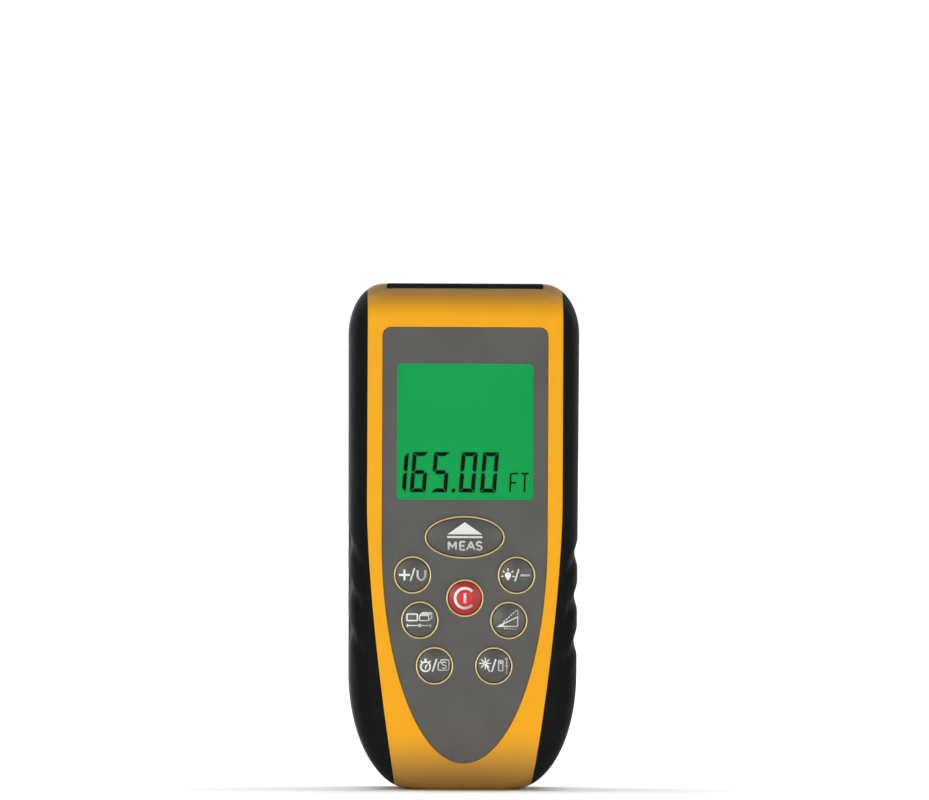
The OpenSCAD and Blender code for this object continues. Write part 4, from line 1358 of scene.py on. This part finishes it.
def screw_head(at):
    """Rows from the middle of a head outwards over the dome, then down the side and the shank."""
    share = np.concatenate([np.linspace(0, 1, 26), [1, 0.52, 0.52]])[:, None]
    turn = np.linspace(0, 2 * np.pi, 97)[None]
    x, z = share * head_r * np.cos(turn), share * head_r * np.sin(turn)
    y = head_top - dome_h + dome_h * np.sqrt(np.clip(1 - share ** 2, 0, 1)) + 0 * x
    slot = np.maximum(*[np.clip((0.32 - np.abs(a)) / 0.12, 0, 1) * np.clip((1.35 - np.abs(b)) / 0.5, 0, 1)
                        for a, b in ((x, z), (z, x))])
    y -= slot_depth * slot
    y[-3:] = np.array([head_top - 1.5, head_top - 1.5, head_top - 7])[:, None]
    return np.stack([at[0] + x, y, at[1] + z], -1)


patches = [screw_head(at) for at in screw_at]
steel = Finish("zinc_steel", Metallic=1.0, Roughness=0.3)
plating = steel.noise(0.0006, 3)
steel.feed(
    Base_Color=steel.mix(plating, rgb(160, 162, 166), rgb(196, 198, 202)),
    Roughness=0.24 + 0.2 * plating,
    Normal=steel.bump(steel.noise(0.00015, 2), 0.000005, 0.5),
)
screws = settle(skin("case_screw_heads", patches, [rows[-1, :-1] for rows in patches], 0.0005))
fit(screws, steel, "housing", "spring_steel", "case_screws")

# ---- Cells and contact springs ----
# Two size AAA cells lie head to tail in the bay, each in a printed sleeve with a steel button.
# Conical springs of plated wire press on their flat ends.

cell_r, cell_length, button_r = 5.25, 44.5, 1.9
cell_profile = [(0, 0), (3.6, 0), (3.8, 0.12), (4.3, 0.12), (4.5, 0.0), (4.95, 0.0), (5.15, 0.08),
                (cell_r, 0.25), (cell_r, 42.9), (5.15, 43.1), (4.9, 43.2), (4.6, 43.1), (4.4, 42.95),
                (2.4, 42.95), (2.3, 43.5), (button_r, 43.55), (button_r, 44.35), (1.75, cell_length),
                (0, cell_length)]


def cell_rows(name, up):
    """A cell as its profile of radius and height turned round its own axis."""
    low, high = box_mm(name)
    turn = np.linspace(0, 2 * np.pi, 65)[None]
    r, h = np.array(cell_profile).T[:, :, None]
    z = low[2] + h if up else high[2] - h
    middle = (low + high) / 2
    return np.stack([middle[0] + r * np.cos(turn), middle[1] + r * np.sin(turn), z + 0 * turn], -1)


band_l = 0.012
for name, up in (("battery_left", True), ("battery_right", False)):
    low, high = box_mm(name)
    made = Finish(name + "_sleeve", Roughness=0.28, Coat_Weight=0.4, Coat_Roughness=0.1)
    z = made.axis("Z")
    flat_bare, button_bare = 0.5, 1.9
    bare = (flat_bare, button_bare) if up else (button_bare, flat_bare)
    start, end = (low[2] + bare[0]) * mm, (high[2] - bare[1]) * mm
    inside = (z - start).over(0, 0.0001) * (end - z).over(0, 0.0001)
    band = (z - (end - band_l)).over(0, 0.0001) if up else ((start + band_l) - z).over(0, 0.0001)
    wear = made.noise(0.002, 3)
    printed = made.mix(band, rgb(22, 24, 30), rgb(176, 108, 46))
    made.feed(
        Base_Color=made.mix(inside, made.mix(wear, rgb(178, 180, 184), rgb(205, 207, 210)), printed),
        Metallic=1 - 0.75 * inside,
        Roughness=0.22 + 0.16 * wear,
        Normal=made.bump(wear, 0.000006, 0.3),
    )
    fit(settle(skin(name + "_cell", [cell_rows(name, up)]), sharp=40), made, "housing", "cell_sleeve", name)

spring_turns, wire_r = 4.5, 0.3


def tube(path, radius, sides=10):
    """A round wire: circles carried along a path, in planes at right angles to it."""
    along = np.gradient(path, axis=0)
    along /= np.linalg.norm(along, axis=1)[:, None]
    across = np.cross(along, [0.0, 1.0, 0.0])
    across /= np.linalg.norm(across, axis=1)[:, None]
    over = np.cross(along, across)
    turn = np.linspace(0, 2 * np.pi, sides + 1)[None, :, None]
    rows = path[:, None] + radius * (across[:, None] * np.cos(turn) + over[:, None] * np.sin(turn))
    return rows, [rows[0, :-1], rows[-1, :-1]]


plate_t = 0.75
patches, caps = [], []
for name, up in (("battery_left", True), ("battery_right", False)):
    low, high = box_mm(name)
    middle = (low + high) / 2
    t = np.linspace(0, 1, 260)
    turn = 2 * np.pi * spring_turns * t
    r = 4.0 - 1.6 * t
    start, end = (bay_low + plate_t, low[2] - wire_r) if up else (bay_top - plate_t, high[2] + wire_r)
    z = start + (end - start) * t
    coil = np.stack([middle[0] + r * np.cos(turn), middle[1] + r * np.sin(turn), z], 1)
    rows, ends = tube(coil, wire_r)
    patches.append(rows)
    caps += ends
springs = skin("contact_spring_wire", patches, caps, 0.0005)
fit(settle(springs), steel, "housing", "spring_steel", "contact_springs")

# ---- Inner parts ----
# The parts behind the panel and in the top end keep their plain shapes: the boards, chips, mat,
# domes, optics block and lenses. Each gets the finish of what it is made of.


def dress(finish, *nodes):
    """Puts a finish on CAD nodes that stay as they are."""
    for node in nodes:
        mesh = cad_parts[node].data
        if not mesh.materials:
            mesh.materials.append(finish.material)
        for place in range(len(mesh.materials)):
            mesh.materials[place] = finish.material


def plain(name, dark, light, size, rough, depth=0.00001, **constants):
    """A finish that wanders between two colours over noise of a given size."""
    made = Finish(name, Roughness=rough, **constants)
    drift = made.noise(size, 3)
    return made.feed(
        Base_Color=made.mix(drift, dark, light),
        Roughness=rough - 0.08 + 0.16 * drift,
        Normal=made.bump(drift, depth, 0.5),
    )


board = Finish("circuit_board", Roughness=0.35, Coat_Weight=0.3, Coat_Roughness=0.15)
slanting = board.axis("X") + 0.5 * board.axis("Z")
wave = board.node("ShaderNodeMath", {"operation": "PINGPONG"}, {0: slanting, 1: 0.0006})
tracks = (wave - 0.00042).over(0, 0.00005)
weave = board.noise(0.0005, 2)
board.feed(
    Base_Color=board.mix(tracks, board.mix(weave, rgb(10, 78, 44), rgb(14, 92, 52)), rgb(30, 124, 74)),
    Roughness=0.3 + 0.12 * weave,
    Normal=board.bump(tracks, 0.00003, 0.5),
)
dress(board, "main_board", "detector_board")
dress(plain("chip_epoxy", rgb(20, 20, 22), rgb(32, 32, 34), 0.0004, 0.6), "main_chips", "buzzer")
dress(plain("silicone_mat", rgb(196, 198, 196), rgb(212, 214, 212), 0.003, 0.55), "keypad_mat")
dress(plain("spring_steel", rgb(168, 170, 172), rgb(200, 202, 204), 0.0008, 0.25, Metallic=1.0),
      "dome_switches", "board_screws", "detector", "contact_plates")
dress(plain("diffuser", rgb(222, 232, 226), rgb(236, 244, 240), 0.004, 0.5), "backlight_panel")
dress(plain("ivory_abs", rgb(206, 204, 192), rgb(220, 218, 206), 0.002, 0.5), "lcd_holder")
dress(plain("polyimide", rgb(168, 92, 22), rgb(190, 112, 32), 0.002, 0.3), "lcd_flex")
dress(plain("cast_aluminium", rgb(136, 140, 144), rgb(170, 174, 178), 0.0009, 0.42, 0.00004, Metallic=1.0),
      "optics_chassis")
dress(brass, "laser_module")
dress(clear, "laser_lens", "receiver_lens")
dress(plain("silicone_black", rgb(20, 20, 21), rgb(30, 30, 31), 0.001, 0.7), "end_plate_seal", "case_gasket")
